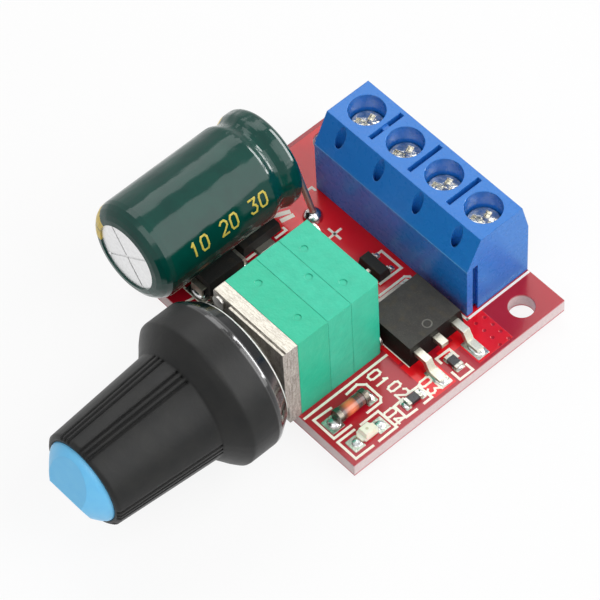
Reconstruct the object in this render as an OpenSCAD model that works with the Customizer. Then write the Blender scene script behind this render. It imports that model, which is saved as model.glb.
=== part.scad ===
// A small board that sets the speed of a direct current motor. It carries a four-pole
// screw terminal block, a rotary control with a switch and a knob, a power transistor,
// a storage capacitor and the small parts of the timing circuit.
// The origin is midway between the two mounting holes, on the underside of the board.
// X runs along the terminal block, Y points to the wire entries and Z points up.

/* [Board] */
// Width of the board, along the terminal block
board_w = 30; // [29:0.5:36]
// Distance from the line of the mounting holes to the front edge
board_front = 22.2; // [21.6:0.2:26]
// Distance from the line of the mounting holes to the back edge
board_back = 3.2; // [3:0.1:4]
// Thickness of the board
board_t = 1.6; // [1.2:0.1:2]
// Distance between the two mounting holes
mount_spacing = 25.7; // [25:0.1:27]
// Diameter of a mounting hole
mount_hole_d = 2.5; // [2:0.1:3]
// Diameter of a plated hole for a round lead
lead_hole_d = 1; // [0.9:0.05:1.2]
// Height of a solder cone below the board
solder_h = 0.9; // [0.6:0.05:1.2]
// Width of a solder cone at the board
solder_d = 1.9; // [1.7:0.1:2.1]

/* [Terminal block] */
// Distance between two poles
pole_pitch = 5; // [4.9:0.05:5.08]
// Width taken off the block at its two ends together
block_trim = 0.2; // [0:0.05:0.3]
// How far the block's middle lies to the right of the board's middle
block_shift = 0.4; // [0:0.1:0.6]
// Depth of the block, from its front wall to the wire entries
block_depth = 7.46; // [7.4:0.02:8]
// Height of the block above the board
block_h = 9.8; // [9.6:0.1:11]
// Height at which the two slopes begin
block_shoulder_h = 6.5; // [6.2:0.1:7]
// Depth of the slope on the front side
front_slope = 1.68; // [1.4:0.02:1.8]
// Depth of the slope above the wire entries
back_slope = 0.78; // [0.4:0.02:1]
// Distance from the wire-entry face to the screws' axes
screw_setback = 3.15; // [3:0.05:3.3]
// Diameter of a screw well
well_d = 3.5; // [3.45:0.01:3.55]
// Depth of a screw head below the block's top
screw_recess = 2; // [1.8:0.1:2.2]
// Width of the slots between the wells
slot_w = 0.5; // [0.4:0.05:0.7]
// Length of the slots between the wells
slot_len = 3.9; // [3:0.1:4.2]
// Depth of the slots between the wells
slot_deep = 1.6; // [1.2:0.1:2.2]
// Diameter of a test hole in the front slope
test_hole_d = 1.05; // [0.8:0.05:1.1]
// Width of a wire entry
entry_w = 3.4; // [3.2:0.05:3.5]
// Height of a wire entry
entry_h = 2.2; // [2:0.05:2.4]
// Width that the entry's mouth gains on every side
entry_flare = 0.4; // [0.2:0.05:0.5]
// Depth of the joining groove and height of the joining rib on the block's ends
joint_deep = 0.55; // [0.4:0.05:0.7]
// Width of the joining groove at the block's end face
joint_w = 0.6; // [0.5:0.05:0.8]

/* [Terminal clamps] */
// Diameter of the screw's head
screw_head_d = 3.35; // [3.3:0.01:3.4]
// Thickness of the screw's head
screw_head_t = 0.9; // [0.7:0.05:1]
// Outer diameter of the screw's thread
screw_d = 2.5; // [2.4:0.05:2.6]
// Width of the driver slot
driver_slot_w = 0.55; // [0.4:0.05:0.7]
// Depth of the driver slot
driver_slot_deep = 0.5; // [0.3:0.05:0.6]
// Outer width of a clamp
clamp_w = 3.6; // [3.4:0.05:3.65]
// Depth of a clamp along the wire
clamp_depth = 3.7; // [3.4:0.05:3.8]
// Outer height of a clamp
clamp_h = 4.2; // [4.1:0.05:4.3]
// Thickness of a clamp's top and bottom walls
clamp_wall = 0.75; // [0.6:0.05:0.8]
// How far a clamp rises from open to shut
clamp_travel = 1.6; // [1.2:0.1:1.6]
// Height of an open clamp above the board
clamp_lift = 0.4; // [0.3:0.05:0.5]
// Thickness of the contact strip
contact_t = 0.5; // [0.4:0.05:0.6]
// Width of the contact strip
contact_w = 1.7; // [1.4:0.05:1.9]
// Width of the contact's solder pin
contact_pin_w = 0.9; // [0.7:0.05:1]
// Running clearance of a clamp in its chamber, on each side
clamp_gap = 0.12; // [0.08:0.01:0.16]
// Radial clearance of a turning piece in its bore
turn_gap = 0.05; // [0.02:0.01:0.1]

/* [Rotary control] */
// Width of the control's housing
pot_w = 9.3; // [9.1:0.1:9.6]
// Height of the control's housing above the board
pot_h = 10.53; // [10.3:0.01:11]
// How far the shaft lies to the right of the board's middle
shaft_x = 3.25; // [3:0.05:3.5]
// Height of the shaft's axis above the board
shaft_h = 5.91; // [5.85:0.01:6.1]
// Thickness of the front plate
plate_t = 1.7; // [1.5:0.05:2]
// How far the front plate's back face lies behind the board's front edge
plate_setback = 0.35; // [0.2:0.05:0.5]
// Length of the resistor housing
deck_front_len = 3.5; // [3.4:0.05:3.8]
// Length of the middle housing
deck_middle_len = 2.7; // [2.4:0.05:3]
// Length of the switch housing
deck_rear_len = 3.35; // [3.1:0.05:3.5]
// Radius of the upright edge at the back of the switch housing
deck_corner_r = 0.4; // [0.3:0.05:0.8]
// Diameter of the bushing in front of the plate
bushing_d = 7; // [6.8:0.05:7.4]
// Length of the bushing
bushing_len = 4.7; // [4.4:0.1:4.8]
// Diameter of the shaft
shaft_d = 5.9; // [5.8:0.05:6]
// Length of the shaft in front of the plate
shaft_len = 15; // [14.6:0.1:15.4]
// Number of teeth on the shaft's knurled end
knurl_count = 18; // [16:1:24]
// Depth of the knurl's teeth
knurl_deep = 0.25; // [0.2:0.01:0.35]
// Width of the slit in the shaft's end
slit_w = 1; // [0.8:0.05:1.2]
// Length of the slit in the shaft's end
slit_len = 6.5; // [5:0.1:7]
// Diameter of a rivet that holds the housings together
rivet_d = 0.8; // [0.7:0.05:0.9]
// Diameter of a rivet's head
rivet_head_d = 1.4; // [1.2:0.05:1.5]
// Distance from the housing's sides to the rivets
rivet_inset = 0.85; // [0.8:0.05:0.95]

/* [Knob] */
// Distance from the front plate to the knob's rim
knob_gap = 1.2; // [1:0.1:1.5]
// Diameter of the knob's skirt
skirt_d = 15; // [14:0.1:15]
// Length of the straight part of the skirt
skirt_len = 3.05; // [2.8:0.05:3.4]
// Diameter of the rim that faces the plate
rim_d = 12.8; // [12.4:0.1:13.2]
// Length of the bevel between the rim and the skirt
rim_len = 1.58; // [1.4:0.02:1.8]
// Length of the shoulder between the skirt and the grip
shoulder_len = 1.97; // [1.7:0.01:2.2]
// Diameter of the grip at the shoulder
grip_base_d = 11; // [10.8:0.1:11.4]
// Diameter of the grip at its tip
grip_tip_d = 9.35; // [9.2:0.05:9.8]
// Length of the grip
grip_len = 11.02; // [10.8:0.02:11.4]
// Depth of the grip's grooves
groove_deep = 0.28; // [0.2:0.02:0.36]
// Width of a groove
groove_w = 0.32; // [0.24:0.02:0.4]
// Angle between two grooves of one group
groove_step = 6.4; // [5.5:0.1:7]
// Angle from the middle of a pair of groups to each group
group_spread = 16.2; // [15:0.1:18]
// Angle of the first pair of groups about the shaft
group_start = 98.2; // [90:0.1:110]
// Diameter of the coloured cap
cap_d = 8.2; // [8:0.05:8.3]
// How far the ridge across the coloured cap stands out of the grip
cap_proud = 2.05; // [1.8:0.05:2.2]
// Length of the ridge
ridge_len = 3.8; // [3.4:0.1:4.2]
// Slope of the cap's two faces beside the ridge
ridge_slope = 17; // [14:1:20]
// Turn of the ridge from the board's plane
ridge_turn = 9.4; // [0:0.1:20]

/* [Storage capacitor] */
// Diameter of the capacitor over its sleeve
can_d = 10; // [9.8:0.1:10]
// Length of the capacitor
can_len = 17; // [16.6:0.1:17.2]
// Upward tilt of the capacitor towards its vent end
can_tilt = 2; // [1.9:0.1:3]
// Sideways turn of the capacitor
can_turn = 1.35; // [0.5:0.05:2]
// Height of the capacitor's axis above the board, at its lead end
can_axis_h = 6.4; // [6.4:0.05:7]
// Distance from the board's left edge to the capacitor's axis
can_from_left = 3.28; // [3.1:0.02:3.3]
// Distance from the mounting holes' line to the capacitor's lead end
can_from_mounts = 7.96; // [7.9:0.02:8.4]
// Thickness of the sleeve
sleeve_t = 0.16; // [0.1:0.02:0.2]
// Radius of the sleeve's edge at the vent end
vent_edge_r = 1.6; // [1.4:0.05:1.7]
// Distance from the lead end to the pressed groove
crimp_at = 2.4; // [2.2:0.05:2.6]
// Half the width of the pressed groove
crimp_half = 1.2; // [1:0.05:1.25]
// Depth of the pressed groove
crimp_deep = 0.35; // [0.25:0.05:0.5]
// Distance between the two leads
lead_pitch = 5; // [4.8:0.05:5]
// Diameter of a lead
lead_d = 0.6; // [0.5:0.05:0.7]

/* [Power transistor] */
// Length of the transistor's body, from tab to leads
fet_len = 6.05; // [5.9:0.05:6.2]
// Width of the transistor's body
fet_w = 6.6; // [6.4:0.05:6.7]
// Height of the transistor's body
fet_h = 2.25; // [2.1:0.05:2.4]
// Distance from the board's right edge to the transistor's body
fet_from_right = 4.2; // [4:0.05:4.3]
// Distance from the mounting holes' line to the transistor's middle
fet_from_mounts = 8.35; // [8.3:0.05:8.8]
// Distance between the two outer leads
fet_lead_pitch = 4.57; // [4.4:0.01:4.6]
// Width of an outer lead
fet_lead_w = 0.76; // [0.6:0.02:0.9]
// How far the outer leads reach from the body
fet_lead_reach = 3.1; // [2.8:0.05:3.2]
// How far the tab stands out of the body
fet_tab_reach = 1; // [0.8:0.05:1.1]
// Width of the tab
fet_tab_w = 5.3; // [5:0.05:5.4]

/* [Small parts] */
// Thickness of the metal leads of small parts
leaf_t = 0.2; // [0.15:0.01:0.25]
// Length of the flyback diode's body
fly_len = 4.25; // [4.1:0.05:4.4]
// Width of the flyback diode's body
fly_w = 2.6; // [2.4:0.05:2.7]
// Height of the flyback diode
fly_h = 2; // [1.9:0.05:2.05]
// Length of the regulator's body
reg_len = 4.5; // [4.4:0.05:4.6]
// Width of the regulator's body
reg_w = 2.45; // [2.3:0.05:2.5]
// Height of the regulator
reg_h = 1.4; // [1.3:0.05:1.45]
// Length of the timer chip's body
chip_len = 4.9; // [4.8:0.05:5]
// Width of the timer chip's body
chip_w = 3.9; // [3.8:0.05:4]
// Height of the timer chip
chip_h = 1.45; // [1.35:0.05:1.5]
// Distance between two leads of the timer chip
chip_pitch = 1.27; // [1.2:0.01:1.27]
// Length of the gate transistor's body
gate_len = 2.9; // [2.8:0.05:3]
// Width of the gate transistor's body
gate_w = 1.3; // [1.2:0.05:1.4]
// Height of the gate transistor
gate_h = 1; // [0.9:0.05:1.1]
// Length of a chip resistor
res_len = 1.6; // [1.5:0.05:1.7]
// Width of a chip resistor
res_w = 0.85; // [0.75:0.05:0.9]
// Height of a chip resistor
res_h = 0.45; // [0.4:0.05:0.5]
// Length of a chip capacitor
mlcc_len = 2; // [1.8:0.05:2.1]
// Width of a chip capacitor
mlcc_w = 1.25; // [1.1:0.05:1.3]
// Height of a chip capacitor
mlcc_h = 0.85; // [0.7:0.05:1]
// Length of a glass diode with its end caps
glass_len = 3.5; // [3.3:0.05:3.6]
// Diameter of a glass diode's end caps
glass_d = 1.45; // [1.3:0.05:1.5]
// Length of a glass diode's end cap
glass_cap_len = 0.5; // [0.4:0.05:0.6]
// Length of the indicator lamp
led_len = 2; // [1.9:0.05:2.1]
// Width of the indicator lamp
led_w = 1.3; // [1.2:0.05:1.4]
// Height of the indicator lamp
led_h = 0.8; // [0.7:0.05:0.9]

/* [Hidden] */
$fn = 48;
// Overrun of every cut
over = 0.3;
// Clearance between fixed pieces that fit into one another
seat = 0.02;

left = -board_w / 2;
right = board_w / 2;
front = -board_front;
back = board_back;
// Leads are cut off level with the solder, just short of its foot
pin_short = 0.05;
pin_end = pin_short - solder_h;
foot_extra = 0.35;

// Every pole of the terminal block has its own screw and clamp
pole_count = 4;
block_w = pole_count * pole_pitch - block_trim;
block_left = block_shift - block_w / 2;
block_right = block_shift + block_w / 2;
block_front = back - block_depth;
screw_y = back - screw_setback;
function pole_x(i) = block_shift + (i - (pole_count - 1) / 2) * pole_pitch;
// Chamber of a pole, which holds the clamp, and the pocket behind it for the contact's leg
chamber_w = clamp_w + 2 * clamp_gap;
chamber_d = clamp_depth + 2 * clamp_gap;
chamber_h = clamp_lift + clamp_h + clamp_travel + clamp_gap;
leg_room = 1.1;
leg_back = screw_y - chamber_d / 2 - leg_room;
leg_y = leg_back + seat + contact_t / 2;
leg_pocket_w = contact_w + 2 * clamp_gap;
// The contact strip lies just below the clamp's top wall
contact_drop = 0.2;
contact_top = clamp_lift + clamp_h - clamp_wall - contact_drop;
contact_end = screw_y + clamp_depth / 2;
entry_bottom = clamp_lift + clamp_wall;
// Test holes come out in the front slope and end above the contact's bend
test_y = block_front + front_slope * 0.65;
// The joining groove lies near the front wall
joint_from_front = 1;
joint_y = block_front + joint_from_front;
joint_undercut = 0.2;
joint_fit = 0.06;
// A narrow web crosses the first slot
web = 0.7;
web_drop = 0.25;
screw_top = board_t + block_h - screw_recess;
screw_low = board_t + contact_top + turn_gap;
neck_gap = 0.1;
screw_edge = 0.15;

shaft_z = board_t + shaft_h;
plate_back = front + plate_setback;
plate_front = plate_back - plate_t;
deck_middle_y = plate_back + deck_front_len;
deck_rear_y = deck_middle_y + deck_middle_len;
deck_end_y = deck_rear_y + deck_rear_len;
pot_left = shaft_x - pot_w / 2;
pot_right = shaft_x + pot_w / 2;
pot_top = board_t + pot_h;
// Recesses of the plate's front round the two rivets
recess_w = 2.35;
recess_h = 2.4;
recess_deep = 0.35;
rivet_head_t = 0.25;
// Opposite corners of the housing hold the rivets
rivet_places = [[pot_left + rivet_inset, pot_top - rivet_inset], [pot_right - rivet_inset, board_t + rivet_inset]];
// Rooms and pieces inside the control
wiper_room_d = 7.8;
wiper_room_len = 2.6;
wafer_t = 0.6;
wafer_y = plate_back + wiper_room_len - wafer_t;
wafer_foot_w = 5.8;
wafer_foot_h = 1.1;
carrier_gap = 0.45;
carrier_d = wiper_room_d - 2 * carrier_gap;
carrier_t = 0.9;
carrier_from_plate = 0.35;
carrier_y = plate_back + carrier_from_plate;
leaf_pocket = 0.35;
leaf_rim = 0.6;
leaf_y = carrier_y + carrier_t - leaf_pocket;
arm_w = 0.8;
arm_z = (carrier_d / 2 - leaf_rim) * 2 / 3;
hub_d = 3.2;
hub_reach = 1.9;
hub_end = deck_rear_y + hub_reach;
cam_d = 4.6;
cam_flat = 1.7;
cam_from_seam = 0.35;
cam_y = deck_rear_y + cam_from_seam;
switch_room_d = 6.6;
switch_room_w = 6;
switch_room_len = 2.4;
switch_low = shaft_z - switch_room_d / 2;
switch_step = 0.6;
pin_w = 0.8;
pin_t = 0.4;
pin_d = 0.6;
pin_pitch = 2.5;
pin_y = plate_back + wiper_room_len + seat + pin_t / 2;
pin_flat_h = 1.6;
pin_top = board_t + pin_flat_h;
switch_pin_from_seam = 1.6;
switch_pin_y = deck_rear_y + switch_pin_from_seam;
shoulder_d = 6.4;
shoulder_t = 0.25;
knurl_from_bushing = 0.5;
knurl_len = shaft_len - bushing_len - knurl_from_bushing;
dimple_d = 0.7;
dimple_deep = 0.08;
// Where the moulding dimples lie on each housing, as shares of its length
front_dimples = 0.55;
middle_dimple = 0.74;
rear_dimples = 0.31;

// Shape of the knob's shoulder: [share of its length, share of the step in radius]
shoulder_shares = [[0.1, 0.02], [0.2, 0.11], [0.4, 0.3], [0.6, 0.53], [0.8, 0.75], [0.93, 0.89], [1, 1]];
knob_wall = 1.7;
hub_gap = 0.35;
// How far a softened corner of the knob reaches along its sides
knob_soft = 0.25;
bore_spare = 0.5;
cap_seat = 0.8;
// Shape of the cap's dome: [share of its radius, share of its height]
cap_dome = [[1, 0.36], [0.93, 0.55], [0.82, 0.71], [0.67, 0.85]];
lip_r = 0.25;
groups = 3;
grooves_in_group = 3;
grip_start = rim_len + skirt_len + shoulder_len;
knob_len = grip_start + grip_len;
knob_rear = plate_front - knob_gap;
grip_taper = atan((grip_base_d - grip_tip_d) / 2 / grip_len);

can_r = can_d / 2;
metal_t = 0.3;
metal_gap = sleeve_t + seat;
metal_r = can_r - metal_gap;
foot_r = 0.7;
vent_face = can_len - metal_gap;
score_w = 0.22;
score_deep = 0.1;
bung_start = 0.35;
bung_end = 4.6;
winding_r = 4.1;
winding_start = 5;
can_axis = [left + can_from_left, -can_from_mounts, board_t + can_axis_h];
can_dir = [sin(can_turn) * cos(can_tilt), -cos(can_turn) * cos(can_tilt), sin(can_tilt)];
can_side = [cos(can_turn), sin(can_turn), 0];
// The two leads enter the board beside the terminal block
lead_from_left = 7.68;
lead_from_mounts = 6.71;
lead_x = left + lead_from_left;
lead_y = -lead_from_mounts;
lead_out = 0.9;
lead_drop = 0.9;
// A lead is a little thicker where it is bent
lead_swell = 1.08;

fet_right = right - fet_from_right;
fet_left = fet_right - fet_len;
fet_y = -fet_from_mounts;
fet_draft = 0.25;
fet_leaf = 0.5;
fet_lead_h = 1.02;
fet_stub_reach = 1;
fet_corner = 0.8;
lead_root = 1;

fly_from_left = 6.9;
fly_from_front = 4.825;
fly_x = left + fly_from_left;
fly_y = front + fly_from_front;
fly_lead_w = 1.45;
fly_reach = 0.5;
fly_rise = 1;
fly_foot = 0.9;
fly_draft = 0.18;
reg_from_left = 5.785;
reg_from_front = 10.025;
reg_x = left + reg_from_left;
reg_y = front + reg_from_front;
reg_leaf = leaf_t * 1.5;
reg_reach = 0.85;
reg_lead_w = 0.45;
reg_pitch = 1.5;
reg_tab_w = 1.75;
reg_tab_reach = 0.68;
small_draft = 0.12;
chip_from_left = 2.82;
chip_from_front = 3.4;
chip_x = left + chip_from_left;
chip_y = front + chip_from_front;
chip_stand = 0.15;
chip_lead_w = 0.42;
chip_lead_h = 0.5;
chip_reach = 1.05;
chip_mark_d = 0.65;
chip_mark_deep = 0.08;
gate_from_left = 15.85;
gate_from_mounts = 6.7;
gate_x = left + gate_from_left;
gate_y = -gate_from_mounts;
gate_stand = 0.1;
gate_lead_w = 0.4;
gate_lead_h = 0.35;
gate_reach = 0.55;
gate_step = 0.95;
led_from_right = 1.7;
led_from_front = 3.1;
led_x = right - led_from_right;
led_y = front + led_from_front;
led_base_t = 0.3;
led_notch_r = 0.28;
led_end_w = 0.7;
led_end_len = 0.2;
led_end_t = 0.1;
led_lens_share = 0.62;
glass_right_in = 4.4;
glass_right_up = 3.7;
glass_left_in = 9.1;
glass_left_up = 4.15;
glass_places = [[right - glass_right_in, front + glass_right_up],
    [left + glass_left_in, front + glass_left_up]];
glass_step = 0.06;
// How far the chip resistors and chip capacitors lie from the board's edges
res_1_in = 1.9;
res_1_from_mounts = 8.55;
res_2_in = 1.5;
res_2_up = 8.4;
res_3_in = 9.3;
res_3_up = 9.6;
mlcc_in = 11.4;
mlcc_1_up = 5.4;
mlcc_2_up = 9.4;
// Chip resistors and chip capacitors: [x, y, turn]
res_places = [[right - res_1_in, -res_1_from_mounts, 0], [right - res_2_in, front + res_2_up, 90],
    [left + res_3_in, front + res_3_up, 90]];
mlcc_places = [[left + mlcc_in, front + mlcc_1_up, 90], [left + mlcc_in, front + mlcc_2_up, 90]];
chip_end_share = 0.2;

// Plated holes for the capacitor's leads, and for the pins of the control
can_holes = [for (x = [lead_x, lead_x - lead_pitch]) [x, lead_y]];
pin_holes = [for (i = [-1, 0, 1]) [shaft_x + i * pin_pitch, pin_y], for (i = [-1, 1]) [shaft_x + i * pin_pitch, switch_pin_y]];
wide_hole_d = norm([contact_pin_w, contact_t]) + 2 * turn_gap;
wide_holes = [for (i = [0 : pole_count - 1]) [pole_x(i), leg_y]];

module along_x(from, len) {
    translate([from, 0, 0]) rotate([90, 0, 90]) linear_extrude(len) children();
}

module along_y(from, len) {
    translate([0, from + len, 0]) rotate([90, 0, 0]) linear_extrude(len) children();
}

// Turned shape on the control's shaft; its own Z runs from the given place towards the knob
module on_shaft(from) {
    translate([shaft_x, from, shaft_z]) rotate([90, 0, 0]) children();
}

module round_on_shaft(from, to, d) {
    on_shaft(to) cylinder(d = d, h = to - from);
}

// Round bar from one point to another
module bar(a, b, d) {
    run = b - a;
    len = norm(run);
    translate(a) rotate([0, acos(run[2] / len), atan2(run[1], run[0])]) cylinder(d = d, h = len, $fn = 24);
}

// Block that narrows towards its top by the draft on each side
module moulded(w, d, h, draft) {
    intersection() {
        along_y(-d / 2, d) polygon([[-w / 2, 0], [w / 2, 0], [w / 2 - draft, h], [draft - w / 2, h]]);
        along_x(-w / 2, w) polygon([[-d / 2, 0], [d / 2, 0], [d / 2 - draft, h], [draft - d / 2, h]]);
    }
}

// Bent lead that leaves a body at x = 0 and ends flat on the board
module gull_lead(reach, h, t, w) {
    bend = reach * 0.4;
    foot = reach * 0.6;
    along_y(-w / 2, w) polygon([[-t, h], [bend - t / 2, h], [foot - t / 2, 0], [reach, 0], [reach, t],
        [foot, t], [bend, h + t], [-t, h + t]]);
}

// Pocket in a body's side for a bent lead; the side lies at x = 0
module lead_pocket(h, t, w) {
    translate([-t - seat, -w / 2 - seat, h - seat]) cube([t + seat + over, w + 2 * seat, t + 2 * seat]);
}

module circuit_board() {
    color("crimson") difference() {
        translate([left, front, 0]) cube([board_w, board_front + board_back, board_t]);
        for (s = [-1, 1])
            translate([s * mount_spacing / 2, 0, -over]) cylinder(d = mount_hole_d, h = board_t + 2 * over);
        for (p = concat(can_holes, pin_holes))
            translate([p[0], p[1], -over]) cylinder(d = lead_hole_d, h = board_t + 2 * over, $fn = 24);
        for (p = wide_holes)
            translate([p[0], p[1], -over]) cylinder(d = wide_hole_d, h = board_t + 2 * over, $fn = 24);
    }
}

// Solder in a plated hole and the cone below it; the board stands on the cone's flat foot
module solder_plug(hole_d, base_d) {
    translate([0, 0, -solder_h]) cylinder(d1 = hole_d + foot_extra, d2 = base_d, h = solder_h, $fn = 24);
    translate([0, 0, -seat]) cylinder(d = hole_d - 2 * seat, h = board_t + seat, $fn = 24);
}

// Mound of solder on top of the board, round a lead
module solder_mound(d, h) {
    translate([0, 0, board_t]) rotate_extrude($fn = 32) intersection() {
        translate([0, h - d / 2]) circle(d = d);
        square([d, d]);
    }
}

module board_solder() {
    color("silver") {
        for (p = can_holes) translate([p[0], p[1], 0]) difference() {
            union() {
                solder_plug(lead_hole_d, solder_d);
                solder_mound(solder_d, lead_drop);
            }
            translate([0, 0, -solder_h - over]) cylinder(d = lead_d + 2 * seat, h = board_t + solder_h + solder_d + over, $fn = 24);
        }
        for (p = pin_holes) translate([p[0], p[1], 0]) difference() {
            solder_plug(lead_hole_d, solder_d);
            translate([0, 0, -solder_h - over]) cylinder(d = pin_d + 2 * seat, h = board_t + solder_h + 2 * over, $fn = 24);
        }
        for (p = wide_holes) translate([p[0], p[1], 0]) difference() {
            solder_plug(wide_hole_d, solder_d);
            translate([-contact_pin_w / 2 - seat, -contact_t / 2 - seat, -solder_h - over])
                cube([contact_pin_w + 2 * seat, contact_t + 2 * seat, board_t + solder_h + 2 * over]);
        }
    }
}

// Section of the joining rib, with its root at the origin and its tip towards +X
module joint_section(spare) {
    w = joint_w / 2 - spare;
    polygon([[-over, -w], [0, -w], [joint_deep - spare, -w - joint_undercut],
        [joint_deep - spare, w + joint_undercut], [0, w], [-over, w]]);
}

// Everything that is cut out of the block for one pole
module pole_room() {
    translate([-chamber_w / 2, screw_y - chamber_d / 2, board_t - over])
        cube([chamber_w, chamber_d, chamber_h + over]);
    translate([-leg_pocket_w / 2, leg_back, board_t - over]) cube([leg_pocket_w, leg_room + over, chamber_h + over]);
    translate([0, screw_y, board_t]) cylinder(d = screw_d + 2 * neck_gap, h = block_h);
    translate([0, screw_y, screw_top - screw_head_t]) cylinder(d = well_d, h = screw_recess + screw_head_t + over);
    translate([0, test_y, board_t + contact_top]) cylinder(d = test_hole_d, h = block_h, $fn = 32);
    translate([-entry_w / 2, screw_y, board_t + entry_bottom]) cube([entry_w, screw_setback + over, entry_h]);
}

// Funnel of a wire entry, cut from the back face
module entry_funnel() {
    w = entry_w + 2 * entry_flare;
    h = entry_h + 2 * entry_flare;
    mid = board_t + entry_bottom + entry_h / 2;
    intersection() {
        along_x(-w, 2 * w) polygon([[back - entry_flare, mid - entry_h / 2], [back, mid - h / 2],
            [back + over, mid - h / 2], [back + over, mid + h / 2], [back, mid + h / 2], [back - entry_flare, mid + entry_h / 2]]);
        translate([0, 0, mid - h]) linear_extrude(2 * h) polygon([[-entry_w / 2, back - entry_flare], [-w / 2, back],
            [-w / 2, back + over], [w / 2, back + over], [w / 2, back], [entry_w / 2, back - entry_flare]]);
    }
}

module terminal_housing() {
    z = board_t;
    top = board_t + block_h;
    color("royalblue") difference() {
        union() {
            along_x(block_left, block_w) polygon([[block_front, z], [back, z], [back, z + block_shoulder_h],
                [back - back_slope, top], [block_front + front_slope, top], [block_front, z + block_shoulder_h]]);
            translate([block_left, joint_y, z]) mirror([1, 0, 0])
                linear_extrude(block_shoulder_h - joint_fit) joint_section(joint_fit);
        }
        translate([block_right, joint_y, z - over]) mirror([1, 0, 0])
            linear_extrude(block_shoulder_h + over) joint_section(0);
        for (i = [0 : pole_count - 1]) translate([pole_x(i), 0, 0]) {
            pole_room();
            entry_funnel();
        }
        for (i = [0 : pole_count - 2]) translate([pole_x(i) + pole_pitch / 2, screw_y, top - slot_deep]) difference() {
            translate([-slot_w / 2, -slot_len / 2, 0]) cube([slot_w, slot_len, slot_deep + over]);
            if (i == 0) translate([-slot_w, -web / 2, -over]) cube([2 * slot_w, web, slot_deep + over - web_drop]);
        }
    }
}

module terminal_contacts() {
    top = board_t + contact_top;
    color("gainsboro") for (i = [0 : pole_count - 1]) translate([pole_x(i), leg_y, 0]) {
        along_x(-contact_w / 2, contact_w) polygon([[-contact_t / 2, board_t + seat], [contact_t / 2, board_t + seat],
            [contact_t / 2, top - contact_t], [contact_end - leg_y, top - contact_t], [contact_end - leg_y, top],
            [-contact_t / 2, top]]);
        translate([-contact_pin_w / 2, -contact_t / 2, pin_end])
            cube([contact_pin_w, contact_t, board_t + 2 * seat - pin_end]);
    }
}

module terminal_screw(i) {
    head_low = screw_top - screw_head_t + seat;
    color("silver") translate([pole_x(i), screw_y, 0]) difference() {
        rotate_extrude() polygon([[0, screw_low], [screw_d / 2 - screw_edge, screw_low], [screw_d / 2, screw_low + screw_edge],
            [screw_d / 2, head_low], [screw_head_d / 2, head_low], [screw_head_d / 2, screw_top - screw_edge],
            [screw_head_d / 2 - screw_edge, screw_top], [0, screw_top]]);
        for (a = [20, 110]) rotate([0, 0, a])
            translate([-driver_slot_w / 2, -screw_head_d * 0.35, screw_top - driver_slot_deep])
                cube([driver_slot_w, screw_head_d * 0.7, driver_slot_deep + over]);
    }
}

module terminal_screw_1() { terminal_screw(0); }
module terminal_screw_2() { terminal_screw(1); }
module terminal_screw_3() { terminal_screw(2); }
module terminal_screw_4() { terminal_screw(3); }

// Open frame that rises when its screw is tightened
module wire_clamp(i) {
    inner_w = screw_d + 2 * neck_gap;
    ridge = 0.2;
    color("goldenrod") translate([pole_x(i), screw_y, board_t + clamp_lift]) difference() {
        translate([-clamp_w / 2, -clamp_depth / 2, 0]) cube([clamp_w, clamp_depth, clamp_h]);
        translate([-inner_w / 2, -clamp_depth / 2 - over, clamp_wall])
            cube([inner_w, clamp_depth + 2 * over, clamp_h - 2 * clamp_wall]);
        translate([0, 0, clamp_h - clamp_wall - over]) cylinder(d = screw_d + 2 * turn_gap, h = clamp_wall + 2 * over);
        for (s = [-1, 0, 1]) translate([0, s * clamp_depth / 4, clamp_wall]) rotate([45, 0, 0])
            cube([inner_w, ridge, ridge], center = true);
    }
}

module wire_clamp_1() { wire_clamp(0); }
module wire_clamp_2() { wire_clamp(1); }
module wire_clamp_3() { wire_clamp(2); }
module wire_clamp_4() { wire_clamp(3); }

// Slice of the control's rectangular housing
module housing_slice(from, len) {
    translate([pot_left, from, board_t]) cube([pot_w, len, pot_h]);
}

module rivet_holes(from, to) {
    for (p = rivet_places) translate([p[0], to + over, p[1]]) rotate([90, 0, 0])
        cylinder(d = rivet_d + 2 * seat, h = to - from + 2 * over, $fn = 24);
}

// Openings at the housing's foot for the flat parts of the pins
module pin_slots(steps, y, top) {
    for (i = steps) translate([shaft_x + i * pin_pitch - pin_w / 2 - seat, y - pin_t / 2 - seat, board_t - over])
        cube([pin_w + 2 * seat, pin_t + 2 * seat, top - board_t + over + seat]);
}

// Round marks left by the mould in the top of a housing
module dimples(steps, y) {
    for (i = steps) translate([shaft_x + i * pin_pitch, y, pot_top - dimple_deep])
        cylinder(d = dimple_d, h = over, $fn = 24);
}

module pins(steps, y, top) {
    for (i = steps) translate([shaft_x + i * pin_pitch, y, 0]) {
        translate([-pin_w / 2, -pin_t / 2, board_t + seat]) cube([pin_w, pin_t, top - board_t - seat]);
        translate([0, 0, pin_end]) cylinder(d = pin_d, h = board_t + 2 * seat - pin_end, $fn = 24);
    }
}

module control_front_plate() {
    color("lightgray") difference() {
        union() {
            housing_slice(plate_front, plate_t - seat);
            round_on_shaft(plate_front - bushing_len, plate_front + seat, bushing_d);
        }
        translate([pot_left - over, plate_front - over, pot_top - recess_h]) cube([recess_w + over, recess_deep + over, pot_h]);
        translate([pot_right - recess_w, plate_front - over, board_t - over]) cube([pot_w, recess_deep + over, recess_h + over]);
        // Shaft bore, and a wider seat for the shaft's shoulder
        round_on_shaft(plate_front - bushing_len - over, plate_back + over, shaft_d + 2 * turn_gap);
        round_on_shaft(plate_back - shoulder_t - 2 * turn_gap, plate_back + over, shoulder_d + 2 * turn_gap);
        rivet_holes(plate_front, plate_back);
    }
}

module wafer_foot(spare) {
    translate([shaft_x - wafer_foot_w / 2 - spare, wafer_y - spare, board_t + wafer_foot_h - spare])
        cube([wafer_foot_w + 2 * spare, wafer_t + 2 * spare, shaft_z - board_t - wafer_foot_h]);
}

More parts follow.
